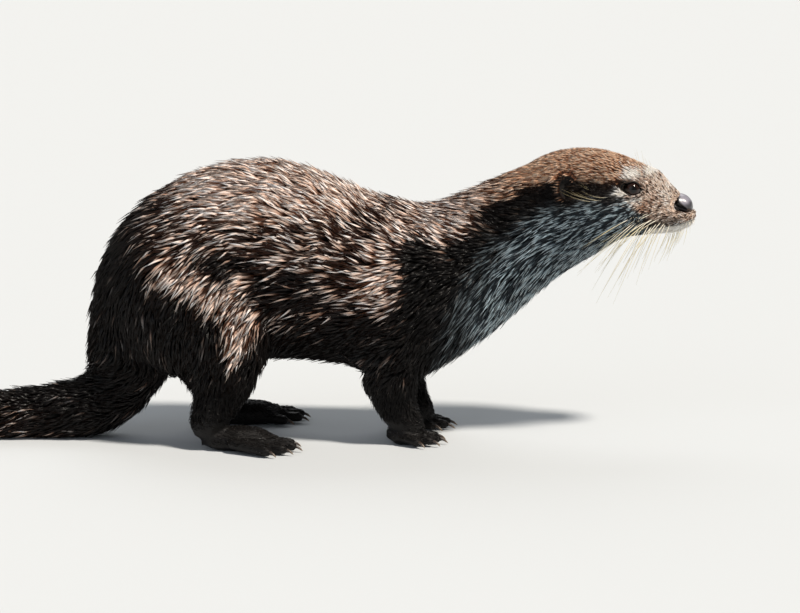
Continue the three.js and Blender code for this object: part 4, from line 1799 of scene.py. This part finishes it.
@dataclass
class Whiskers:
    """The stiff pale hairs of the muzzle, the chin and the brows.

    Attributes:
        rows: The rows of one side.
        steps: Points along a whisker.
        around: Corners round it.
    """

    marks: Landmarks
    hide: Hide
    rows: tuple[WhiskerRow, ...] = (
        WhiskerRow((42, 15.5), (60, 16.5), 8, (34, 46), (-0.80, 0.52, -0.30), (-0.75, -0.20, -0.60), 0.36),
        WhiskerRow((36, 8.5), (56, 11.5), 7, (40, 60), (-0.72, 0.56, -0.42), (-0.60, -0.20, -0.75), 0.38),
        WhiskerRow((29, 4.0), (50, 6.0), 7, (38, 66), (-0.55, 0.56, -0.62), (-0.45, -0.15, -0.85), 0.38),
        WhiskerRow((24, 1.8), (44, 3.0), 6, (30, 54), (-0.38, 0.46, -0.80), (-0.35, 0.0, -0.95), 0.34),
        WhiskerRow((8, -4.5), (24, -6.5), 10, (16, 28), (-0.14, 0.25, -0.95), (-0.42, 0.0, -0.60), 0.32),
        WhiskerRow((22, -9.0), (46, -8.0), 6, (20, 34), (-0.30, 0.25, -0.88), (-0.30, 0.0, -0.40), 0.28),
        WhiskerRow((2, 1.0), (9, 1.5), 5, (8, 12), (0.20, 0.35, -0.90), (-0.15, 0.0, -0.60), 0.14),
        WhiskerRow((60, 3.0), (68, 7.0), 3, (34, 44), (-0.62, 0.60, -0.45), (-0.50, 0.0, -0.60), 0.22),
        WhiskerRow((38, 46.0), (50, 51.0), 4, (12, 24), (-0.05, 0.35, 0.95), (-0.25, 0.0, 0.50), 0.16),
        WhiskerRow((74, 43.0), (84, 39.0), 7, (28, 38), (-1.0, 0.42, -0.24), (-0.80, -0.05, 0.75), 0.21),
    )
    steps: int = 11
    around: int = 5

    def build(self, material: Material) -> Piece:
        """Makes them all, on both sides.

        Args:
            material: Their finish.

        Returns:
            The piece.
        """
        tree = BVHTree.FromPolygons(self.hide.surface.points.tolist(), self.hide.surface.faces.tolist())
        rng = np.random.default_rng(3)
        made = []
        for side in SIDES.values():
            for row in self.rows:
                for share in np.linspace(0, 1, row.count):
                    root = self._root(tree, row, share, side)
                    if root is not None:
                        made.append(self._whisker(row, root, share, side, rng))
        along = np.tile(along_tube(np.linspace(0, 1, self.steps), self.around), len(made))
        return Piece("whiskers", merged(made), "coat", material, {"along": along})

    def _root(self, tree: BVHTree, row: WhiskerRow, share: float, side: float) -> Array | None:
        """Where a whisker leaves the skin.

        Args:
            tree: The search tree of the skin.
            row: The whisker's row.
            share: Its place in the row, from nought to one.
            side: -1 for the right and 1 for the left.

        Returns:
            The root, or nothing where the skin isn't met.
        """
        back, high = (s + (e - s) * share for s, e in zip(row.start, row.end))
        x = self.marks.lip[0] - back * MM
        z = float(self.marks.lip_height(np.array(x))) + high * MM
        z += 0.0012 * math.sin(share * 9)
        far = Vector((x, self.marks.middle + side * 0.08, z))
        found = tree.ray_cast(far, Vector((0, -side, 0)))[0]
        if found is None or (found.y - self.marks.middle) * side < 0:
            return None
        return np.array(found)

    def _whisker(
        self, row: WhiskerRow, root: Array, share: float, side: float, rng: np.random.Generator
    ) -> Surface:
        """Makes one whisker: a thin tapering tube that bends over.

        Args:
            row: Its row.
            root: Where it leaves the skin.
            share: Its place in the row, from nought to one.
            side: -1 for the right and 1 for the left.
            rng: The chance numbers.

        Returns:
            Its surface.
        """
        near, far = row.lengths
        length = (near + (far - near) * share**0.8) * MM * rng.uniform(0.82, 1.1)
        aim = unit(np.array(row.aim) * (1, side, 1) + rng.normal(0, 0.09, 3))
        droop = np.array(row.droop) * (1, side, 1) + rng.normal(0, 0.08, 3)
        t = np.linspace(0, 1, self.steps)[:, None]
        path = root - aim * 0.0008 + length * (aim * t + 0.62 * (droop - aim * 0.45) * t**2)
        return tube(path, row.girth * MM * (1 - 0.88 * t[:, 0] ** 1.1), self.around)


@dataclass
class Claws:
    """The claws of one paw: short curved cones at the toes' tips.

    Attributes:
        node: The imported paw.
        side: -1 for the right and 1 for the left.
        marks: The head's landmarks, for the mid-plane.
        fan_mm: From the low X of the paw's box to the fan's heel.
        stance_mm: From the mid-plane to the fan's heel.
        toe_out: The paw's turn outward, in degrees.
        toes: Each toe's turn in degrees and reach in millimetres.
        start_mm: Where a claw starts, past nine tenths of its toe's reach.
        length_mm: Length of a claw.
        girth_mm: Radius at its root.
        steps: Points along a claw.
        around: Corners round it.
    """

    node: str
    side: float
    marks: Landmarks
    fan_mm: float
    stance_mm: float
    toe_out: float
    toes: tuple[Pair, ...]
    start_mm: float = 1.5
    length_mm: float = 9.0
    girth_mm: float = 1.45
    steps: int = 9
    around: int = 10

    def build(self, material: Material) -> Piece:
        """Makes the claws.

        Args:
            material: Their finish.

        Returns:
            The piece.
        """
        heel = np.array([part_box(self.node)[0][0], self.marks.middle, 0.0])
        heel += np.array([self.fan_mm, self.side * self.stance_mm, 0]) * MM
        made = []
        t = np.linspace(0, 1, self.steps)
        for turn, reach in self.toes:
            angle = math.radians(turn + self.toe_out)
            way = np.array([math.cos(angle), self.side * math.sin(angle), 0])
            far = (reach * 0.9 + self.start_mm + self.length_mm * t) * MM
            height = (5.6 + 1.1 * t - 5.2 * t**2) * MM
            path = heel + way * far[:, None] + np.array([0, 0, 1]) * height[:, None]
            radii = self.girth_mm * MM * np.sqrt(np.clip(1.0 - t**1.6, 0.004, 1))
            made.append(tube(path, radii, self.around))
        along = np.tile(along_tube(t, self.around), len(made))
        return Piece(f"claws_{self.node}", merged(made), "skin", material, {"along": along})


FORE_TOES = ((-30, 38), (-14, 47), (3, 49), (20, 46), (37, 38))
HIND_TOES = ((-20, 76), (-9, 89), (2, 92), (13, 88), (25, 79))


# ---- finishes


@dataclass(frozen=True)
class Nodes:
    """A shader's node tree, with short ways to add what the finishes share."""

    tree: bpy.types.NodeTree

    @classmethod
    def of(cls, owner: bpy.types.ID) -> "Nodes":
        """Starts the shader of a material or a world.

        Args:
            owner: The material or the world.

        Returns:
            Its empty node tree.
        """
        owner.use_nodes = True
        owner.node_tree.nodes.clear()
        return cls(owner.node_tree)

    def add(self, kind: str, links: dict | None = None, **settings: object) -> bpy.types.Node:
        """Adds one shader node, sets it up and links its inputs.

        Args:
            kind: The node's type name.
            links: Input name or number to the output socket that feeds it, or to a plain value.
            settings: Attributes of the node itself.

        Returns:
            The new node.
        """
        node = self.tree.nodes.new(kind)
        for name, value in settings.items():
            setattr(node, name, value)
        for name, value in (links or {}).items():
            if isinstance(value, Socket):
                self.tree.links.new(value, node.inputs[name])
            else:
                node.inputs[name].default_value = value
        return node

    def ramp(self, source: Socket, stops: Stops) -> Socket:
        """Adds a colour ramp.

        Args:
            source: The number that it reads.
            stops: Pairs of a place from nought to one and a hex colour.

        Returns:
            The ramp's colour.
        """
        node = self.add("ShaderNodeValToRGB", {0: source})
        elements = node.color_ramp.elements
        while len(elements) < len(stops):
            elements.new(0.5)
        for element, (place, colour) in zip(elements, stops):
            element.position = place
            element.color = linear(colour)
        return node.outputs["Color"]

    def read(self, name: str) -> Socket:
        """A named number of the surface."""
        return self.add("ShaderNodeAttribute", attribute_name=name).outputs["Fac"]

    def place(self) -> Socket:
        """The place on the object, in metres."""
        return self.add("ShaderNodeTexCoord").outputs["Object"]

    def grain(self, size_mm: float, detail: float = 2.0) -> Socket:
        """Cloudy noise with cells of a size in millimetres."""
        links = {"Vector": self.place(), "Scale": 1000 / size_mm, "Detail": detail}
        return self.add("ShaderNodeTexNoise", links).outputs["Fac"]

    def number(self, kind: str, one: Socket, two: Socket | float) -> Socket:
        """Adds or multiplies two numbers, kept from nought to one."""
        return self.add("ShaderNodeMath", {0: one, 1: two}, operation=kind, use_clamp=True).outputs["Value"]

    def mix(self, share: Socket | float, one: Socket, two: Socket | Colour, kind: str = "MIX") -> Socket:
        """Mixes two colours."""
        links = {0: share, 6: one, 7: two}
        return self.add("ShaderNodeMix", links, data_type="RGBA", blend_type=kind).outputs[2]


@dataclass(frozen=True)
class Finish:
    """A finish: what all of them share."""

    name: str
    roughness: float
    ior: float

    def make(self) -> Material:
        """Makes the Blender material.

        Returns:
            The material.
        """
        material = bpy.data.materials.new(self.name)
        nodes = Nodes.of(material)
        values = {"Base Color": self.colour(nodes), "Roughness": self.roughness, "IOR": self.ior}
        shader = nodes.add("ShaderNodeBsdfPrincipled", values | self.extras())
        height = self.relief(nodes)
        if height is not None:
            bump = nodes.add("ShaderNodeBump", {"Height": height[0], "Distance": height[1]})
            nodes.tree.links.new(bump.outputs["Normal"], shader.inputs["Normal"])
        nodes.add("ShaderNodeOutputMaterial", {"Surface": shader.outputs["BSDF"]})
        return material

    def colour(self, nodes: Nodes) -> Socket:
        """Builds the nodes of its colour."""
        raise NotImplementedError

    def relief(self, nodes: Nodes) -> tuple[Socket, float] | None:
        """Builds the nodes of its relief: a height and its size in metres, or nothing."""
        return None

    def extras(self) -> dict[str, float]:
        """Further plain values of the shader's sockets."""
        return {}


@dataclass(frozen=True)
class WetGuardHair(Finish):
    """Otter guard hair, wet: it clings in pointed locks, dark in the gaps and pale at some tips.

    The water film gives narrow bright lights along the locks, and the near-white pale tips are painted
    highlights of light on the wet locks. The ramps run from root to tip, but for shade and shine, which
    are painted shade and painted sunlight that follow the share of pale tips, and cloud, which follows
    each lock's tone.
    """

    name: str = "wet_guard_hair"
    roughness: float = 0.42
    ior: float = 1.45
    brown: Stops = ((0.0, "#060403"), (0.35, "#28170e"), (0.75, "#7c4f36"), (1.0, "#b28464"))
    russet: Stops = ((0.0, "#120805"), (0.35, "#553220"), (0.75, "#b47a57"), (1.0, "#e0aa84"))
    # Near white from the middle of the lock on: painted highlights of light on the wet locks.
    tipped: Stops = (
        (0.0, "#140c08"), (0.2, "#8a624c"), (0.4, "#fbe3d5"), (0.75, "#ffffff"), (1.0, "#fbeadd"),
    )
    ginger: Stops = (
        (0.0, "#2a1710"), (0.2, "#96664c"), (0.45, "#ebc3a2"), (0.8, "#fff0de"), (1.0, "#f2d6b8"),
    )
    # The grey bib, its own pale grey darkened and cooled blue as painted shade.
    bib: Stops = ((0.0, "#06080a"), (0.5, "#191f24"), (1.0, "#3c464e"))
    tipped_bib: Stops = ((0.0, "#11171b"), (0.25, "#4c5c65"), (0.55, "#a6b8c0"), (1.0, "#e4ecee"))
    muzzle: Stops = ((0.0, "#100906"), (0.5, "#2e1c13"), (1.0, "#5c3b2d"))
    speckle: Stops = ((0.0, "#dcc0aa"), (0.25, "#fff4ea"), (1.0, "#ffffff"))
    cream: Stops = ((0.0, "#a89c92"), (0.3, "#f4efe8"), (1.0, "#ffffff"))
    # shade and shine darken the dark and the pale-tipped locks by the painted sunlight: painted shade.
    shade: Stops = ((0.0, "#262527"), (0.5, "#464240"), (0.8, "#968f8b"), (1.0, "#ffffff"))
    shine: Stops = ((0.0, "#5a5a5c"), (0.35, "#d2cecb"), (0.7, "#ffffff"))
    cloud: Stops = ((0.0, "#b59c8c"), (0.5, "#e0d4cb"), (1.0, "#ffffff"))

    def colour(self, nodes: Nodes) -> Socket:
        """Brown or pale-tipped locks, ginger ahead, the grey bib, the speckled muzzle, the cream lips,
        under painted sunlight and shade, with a painted shadow on the neck and painted shade round the
        ears.

        Args:
            nodes: The material's nodes.

        Returns:
            The colour.
        """
        names = ("along", "tone", "tipped", "sun", "pale", "lip", "warm", "freckle", "dusk")
        along, tone, tipped, sun, pale, lip, warm, freckle, dusk = (nodes.read(name) for name in names)
        dark = nodes.mix(warm, nodes.ramp(along, self.brown), nodes.ramp(along, self.russet))
        dark = nodes.mix(1.0, dark, nodes.ramp(sun, self.shade), "MULTIPLY")
        dark = nodes.mix(freckle, dark, nodes.ramp(along, self.muzzle))
        light = nodes.mix(warm, nodes.ramp(along, self.tipped), nodes.ramp(along, self.ginger))
        light = nodes.mix(1.0, light, nodes.ramp(sun, self.shine), "MULTIPLY")
        light = nodes.mix(freckle, light, nodes.ramp(along, self.speckle))
        coat = nodes.mix(tipped, dark, light)
        coat = nodes.mix(1.0, coat, nodes.ramp(tone, self.cloud), "MULTIPLY")
        grey = nodes.mix(tipped, nodes.ramp(along, self.bib), nodes.ramp(along, self.tipped_bib))
        coat = nodes.mix(pale, coat, grey)
        coat = nodes.mix(lip, coat, nodes.ramp(along, self.cream))
        # Darker hair and painted shade: the painted shadow on the neck, painted shade round and behind the
        # ears, and the lower limbs darkened.
        return nodes.mix(nodes.number("MULTIPLY", dusk, 0.90), coat, linear("#090605"))

    def extras(self) -> dict[str, float]:
        """The water film."""
        return {"Coat Weight": 0.28, "Coat Roughness": 0.2, "Coat IOR": 1.33, "Specular IOR Level": 0.2}


@dataclass(frozen=True)
class FurredSkin(Finish):
    """The skin under the coat with its short wet underfur: dark, with the coat's markings and its painted
    sunlight and shade.
    """

    name: str = "underfur_and_skin"
    roughness: float = 0.60
    ior: float = 1.40
    layers: dict[str, Stops] = field(
        default_factory=lambda: {
            # Under the bib the skin is darkened and cooled blue as painted shade.
            "pale": ((0.3, "#0e1215"), (0.7, "#2c353b")),
            "freckle": ((0.35, "#2a1a12"), (0.65, "#ecd2bc")),
            "lip": ((0.3, "#b5afa4"), (0.7, "#f2ede4")),
            # The paws' bare skin is black, made darker still as painted shade.
            "bare": ((0.3, "#060505"), (0.7, "#110e0d")),
        }
    )

    def colour(self, nodes: Nodes) -> Socket:
        """Dark underfur, lighter as painted sunlight, paler under the bib and the lips, bare black skin on
        the paws, and darkened as painted shade where the coat is, and in the line of the mouth.

        Args:
            nodes: The material's nodes.

        Returns:
            The colour.
        """
        fine, webbing = nodes.grain(1.6, 3.0), nodes.grain(5.0, 4.0)
        # Painted sunlight: lighter underfur where the painted sunlight falls, dark wet underfur in painted
        # shade.
        wet = nodes.ramp(fine, ((0.3, "#060403"), (0.7, "#130c08")))
        painted_sunlit = nodes.ramp(fine, ((0.3, "#2a1a12"), (0.7, "#5a3f30")))
        coat = nodes.mix(nodes.read("sun"), wet, painted_sunlit)
        for name, stops in self.layers.items():
            coat = nodes.mix(nodes.read(name), coat, nodes.ramp(webbing if name == "bare" else fine, stops))
        # Painted shade, with the coat's darker hair.
        coat = nodes.mix(nodes.number("MULTIPLY", nodes.read("dusk"), 0.85), coat, linear("#0a0706"))
        # A painted shadow in the line of the mouth and the cleft under the nose.
        return nodes.mix(nodes.read("mouth"), coat, linear("#1a110f"))

    def relief(self, nodes: Nodes) -> tuple[Socket, float]:
        """Short hair and skin grain, about a millimetre apart."""
        return nodes.grain(1.1, 3.0), 0.0006

    def extras(self) -> dict[str, float]:
        """A film of water."""
        return {"Coat Weight": 0.12, "Coat Roughness": 0.3, "Coat IOR": 1.33, "Specular IOR Level": 0.3}


@dataclass(frozen=True)
class BareNose(Finish):
    """The bare leather of the nose: nearly black, pebbled and wet, so that it glints."""

    name: str = "bare_nose_leather"
    roughness: float = 0.36
    ior: float = 1.42

    def colour(self, nodes: Nodes) -> Socket:
        """Charcoal, with a painted lilac-grey sheen on the top and down the front, and black inside the
        nostrils and darker in the cleft as painted shade.

        Args:
            nodes: The material's nodes.

        Returns:
            The colour.
        """
        skin = nodes.ramp(nodes.grain(0.9), ((0.3, "#151317"), (0.7, "#343138")))
        # The painted sheen, lilac-grey, on the top and down the front.
        painted_sheen = nodes.number("MULTIPLY", nodes.read("painted_sheen"), 0.66)
        # Painted shade: black in the nostrils and darker in the cleft.
        cleft = nodes.number("MULTIPLY", nodes.read("cleft"), 0.5)
        hollow = nodes.number("ADD", nodes.read("pit"), cleft)
        return nodes.mix(hollow, nodes.mix(painted_sheen, skin, linear("#a39fac")), linear("#060505"))

    def relief(self, nodes: Nodes) -> tuple[Socket, float]:
        """Pebbles half a millimetre across."""
        cells = nodes.add("ShaderNodeTexVoronoi", {"Vector": nodes.place(), "Scale": 1000 / 0.55})
        return cells.outputs["Distance"], 0.00004

    def extras(self) -> dict[str, float]:
        """A wet film."""
        return {"Coat Weight": 0.7, "Coat Roughness": 0.24, "Coat IOR": 1.36, "Specular IOR Level": 0.9}


@dataclass(frozen=True)
class WetEye(Finish):
    """A living eye: a very dark brown iris round a black pupil, under a clear wet cornea."""

    name: str = "wet_eye"
    roughness: float = 0.08
    ior: float = 1.38

    stops: Stops = (
        (0.0, "#020101"), (0.19, "#030202"), (0.25, "#1c0e08"), (0.42, "#28140b"), (0.52, "#080404"),
    )

    def colour(self, nodes: Nodes) -> Socket:
        """Black pupil, dark brown iris, darker again towards the white that never shows."""
        return nodes.ramp(nodes.read("iris"), self.stops)

    def extras(self) -> dict[str, float]:
        """The tear film."""
        return {"Coat Weight": 0.2, "Coat Roughness": 0.03, "Coat IOR": 1.36}


@dataclass(frozen=True)
class LidSkin(Finish):
    """The rim of the lids: bare black skin, wet, that turns to short dark hair outward."""

    name: str = "lid_skin"
    roughness: float = 0.42
    ior: float = 1.40

    def colour(self, nodes: Nodes) -> Socket:
        """Black at the rim and speckled brown further out."""
        hair = nodes.ramp(nodes.grain(0.9, 3.0), ((0.35, "#20150f"), (0.65, "#6b5445")))
        return nodes.mix(nodes.read("fur"), linear("#0f0b0a"), hair)

    def relief(self, nodes: Nodes) -> tuple[Socket, float]:
        """Fine folds."""
        return nodes.grain(0.8), 0.0003


@dataclass(frozen=True)
class EarSkin(Finish):
    """The ear: thin skin with short dark hair outside, and nearly bare and dark inside, painted darker into
    the cup as shade.
    """

    name: str = "ear_skin"
    roughness: float = 0.80
    ior: float = 1.40

    def colour(self, nodes: Nodes) -> Socket:
        """Brown hair, darkening into the cup as painted shade."""
        hair = nodes.ramp(nodes.grain(1.0, 3.0), ((0.35, "#120c09"), (0.65, "#35261d")))
        return nodes.mix(nodes.read("inside"), hair, linear("#0d0908"))

    def relief(self, nodes: Nodes) -> tuple[Socket, float]:
        """Short hair."""
        return nodes.grain(0.7, 3.0), 0.0005


@dataclass(frozen=True)
class WhiskerHair(Finish):
    """Whiskers: stiff, smooth, horn-pale hairs, palest near the root."""

    name: str = "whisker_hair"
    roughness: float = 0.35
    ior: float = 1.55

    def colour(self, nodes: Nodes) -> Socket:
        """Cream near the root, straw towards the tip."""
        stops = ((0.0, "#c9bfa6"), (0.1, "#fbf4e4"), (0.45, "#e0d3ad"), (1.0, "#a8986a"))
        return nodes.ramp(nodes.read("along"), stops)


@dataclass(frozen=True)
class ClawHorn(Finish):
    """Claws: dense dark horn, polished by wear, a little clearer at the point."""

    name: str = "claw_horn"
    roughness: float = 0.34
    ior: float = 1.55

    def colour(self, nodes: Nodes) -> Socket:
        """Brown-black, to horn at the point."""
        return nodes.ramp(nodes.read("along"), ((0.0, "#1f1813"), (0.6, "#3d3027"), (1.0, "#8d7b66")))

    def relief(self, nodes: Nodes) -> tuple[Socket, float]:
        """Faint growth lines."""
        return nodes.grain(0.8), 0.0001


@dataclass(frozen=True)
class StudioPaper:
    """Seamless studio paper: matt and pale, so that the model's shadow lies on it."""

    name: str = "studio_paper"
    tint: str = "#cdd1d4"

    def make(self) -> Material:
        """Makes the Blender material.

        Returns:
            The material.
        """
        material = bpy.data.materials.new(self.name)
        nodes = Nodes.of(material)
        matt = nodes.add("ShaderNodeBsdfDiffuse", {"Color": linear(self.tint)})
        nodes.add("ShaderNodeOutputMaterial", {"Surface": matt.outputs["BSDF"]})
        return material


# ---- studio


@dataclass
class Studio:
    """The pale floor, the soft lamps and the camera.

    Attributes:
        middle: The animal's mid-plane, as a Y.
        width: Width of the camera's view at the animal's mid-plane.
        ahead: From the middle of the box to the view's centre, along X.
        height: Height of the view's centre.
        elevation: The camera's angle above the floor, in degrees.
        distance: From the camera to the view's centre.
    """

    middle: float
    width: float = 0.720
    ahead: float = 0.1713
    height: float = 0.1188
    elevation: float = 11.0
    distance: float = 8.0

    def build(self) -> None:
        """Sets it all up."""
        self._floor()
        self._camera()
        self._lamp("key", (0.50, -0.42, 1.0), 3.9, 8, "#fff6ea")
        self._lamp("fill", (-0.7, -1.0, 0.45), 0.45, 60, "#eaf1ff")
        self._lamp("back", (-0.2, 1.0, 0.9), 0.8, 50, "#ffffff")
        self._world()
        bpy.context.scene.view_settings.view_transform = "Standard"

    def _floor(self) -> None:
        """A wide sheet of paper under the paws."""
        corners = np.array([(-40, -40, 0), (40, -40, 0), (40, 40, 0), (-40, 40, 0)], float)
        mesh = Surface(corners, np.array([(0, 1, 2), (0, 2, 3)])).to_mesh("floor")
        mesh.materials.append(StudioPaper().make())
        made = add_object("floor", mesh)

    def _camera(self) -> None:
        """A long lens that looks along +Y and a little down."""
        low, high = FIRST_BOUNDS
        aim = Vector(((low[0] + high[0]) / 2 + self.ahead, self.middle, self.height))
        tilt = math.radians(self.elevation)
        data = bpy.data.cameras.new("camera")
        data.sensor_width = 36
        data.lens = 36 * self.distance / self.width
        made = add_object("camera", data)
        made.location = aim + self.distance * Vector((0, -math.cos(tilt), math.sin(tilt)))
        made.rotation_euler = (math.pi / 2 - tilt, 0, 0)
        bpy.context.scene.camera = made

    def _lamp(self, name: str, toward: tuple, power: float, softness: float, tint: str) -> None:
        """Adds a far, soft lamp.

        Args:
            name: Its name.
            toward: Direction from the animal to the lamp.
            power: Its strength in watts for each square metre.
            softness: Its width as seen from the animal, in degrees.
            tint: Its colour.
        """
        data = bpy.data.lights.new(name, "SUN")
        data.energy = power
        data.angle = math.radians(softness)
        data.color = linear(tint)[:3]
        made = add_object(name, data)
        made.rotation_euler = Vector(toward).to_track_quat("Z", "Y").to_euler()

    def _world(self) -> None:
        """An even pale room."""
        world = bpy.data.worlds.new("room")
        nodes = Nodes.of(world)
        room = nodes.add("ShaderNodeBackground", {"Color": linear("#e9edf0"), "Strength": 0.27})
        nodes.add("ShaderNodeOutputWorld", {"Surface": room.outputs["Background"]})
        bpy.context.scene.world = world


def main() -> None:
    """Builds the otter, piece by piece."""
    logging.basicConfig(level=logging.INFO, format="%(name)s: %(message)s")
    marks = Landmarks.read()
    Studio(marks.middle).build()
    hide = Hide(marks)
    hide.build()
    Markings(marks, hide).paint()
    hide.piece(FurredSkin().make()).place()
    hair = WetGuardHair().make()
    for piece in Coat(hide, marks).build(hair):
        piece.place()
    eye, lid, ear, horn = (kind().make() for kind in (WetEye, LidSkin, EarSkin, ClawHorn))
    for name, side in SIDES.items():
        Eye(marks, side).ball(eye, f"ball_{name}").place()
        Eye(marks, side).lids(lid, f"lids_{name}").place()
        Ear(side, f"ear_{name}").build(ear).place()
        Ear(side, f"ear_{name}").tufts(hair).place()
        Claws(f"forepaw_{name}", side, marks, 7.2, 32, 5, FORE_TOES).build(horn).place()
        Claws(f"hind_foot_{name}", side, marks, 9.6, 58, 8, HIND_TOES).build(horn).place()
    Nose(marks).build(BareNose().make()).place()
    Whiskers(marks, hide).build(WhiskerHair().make()).place()


if __name__ == "__main__":
    main()
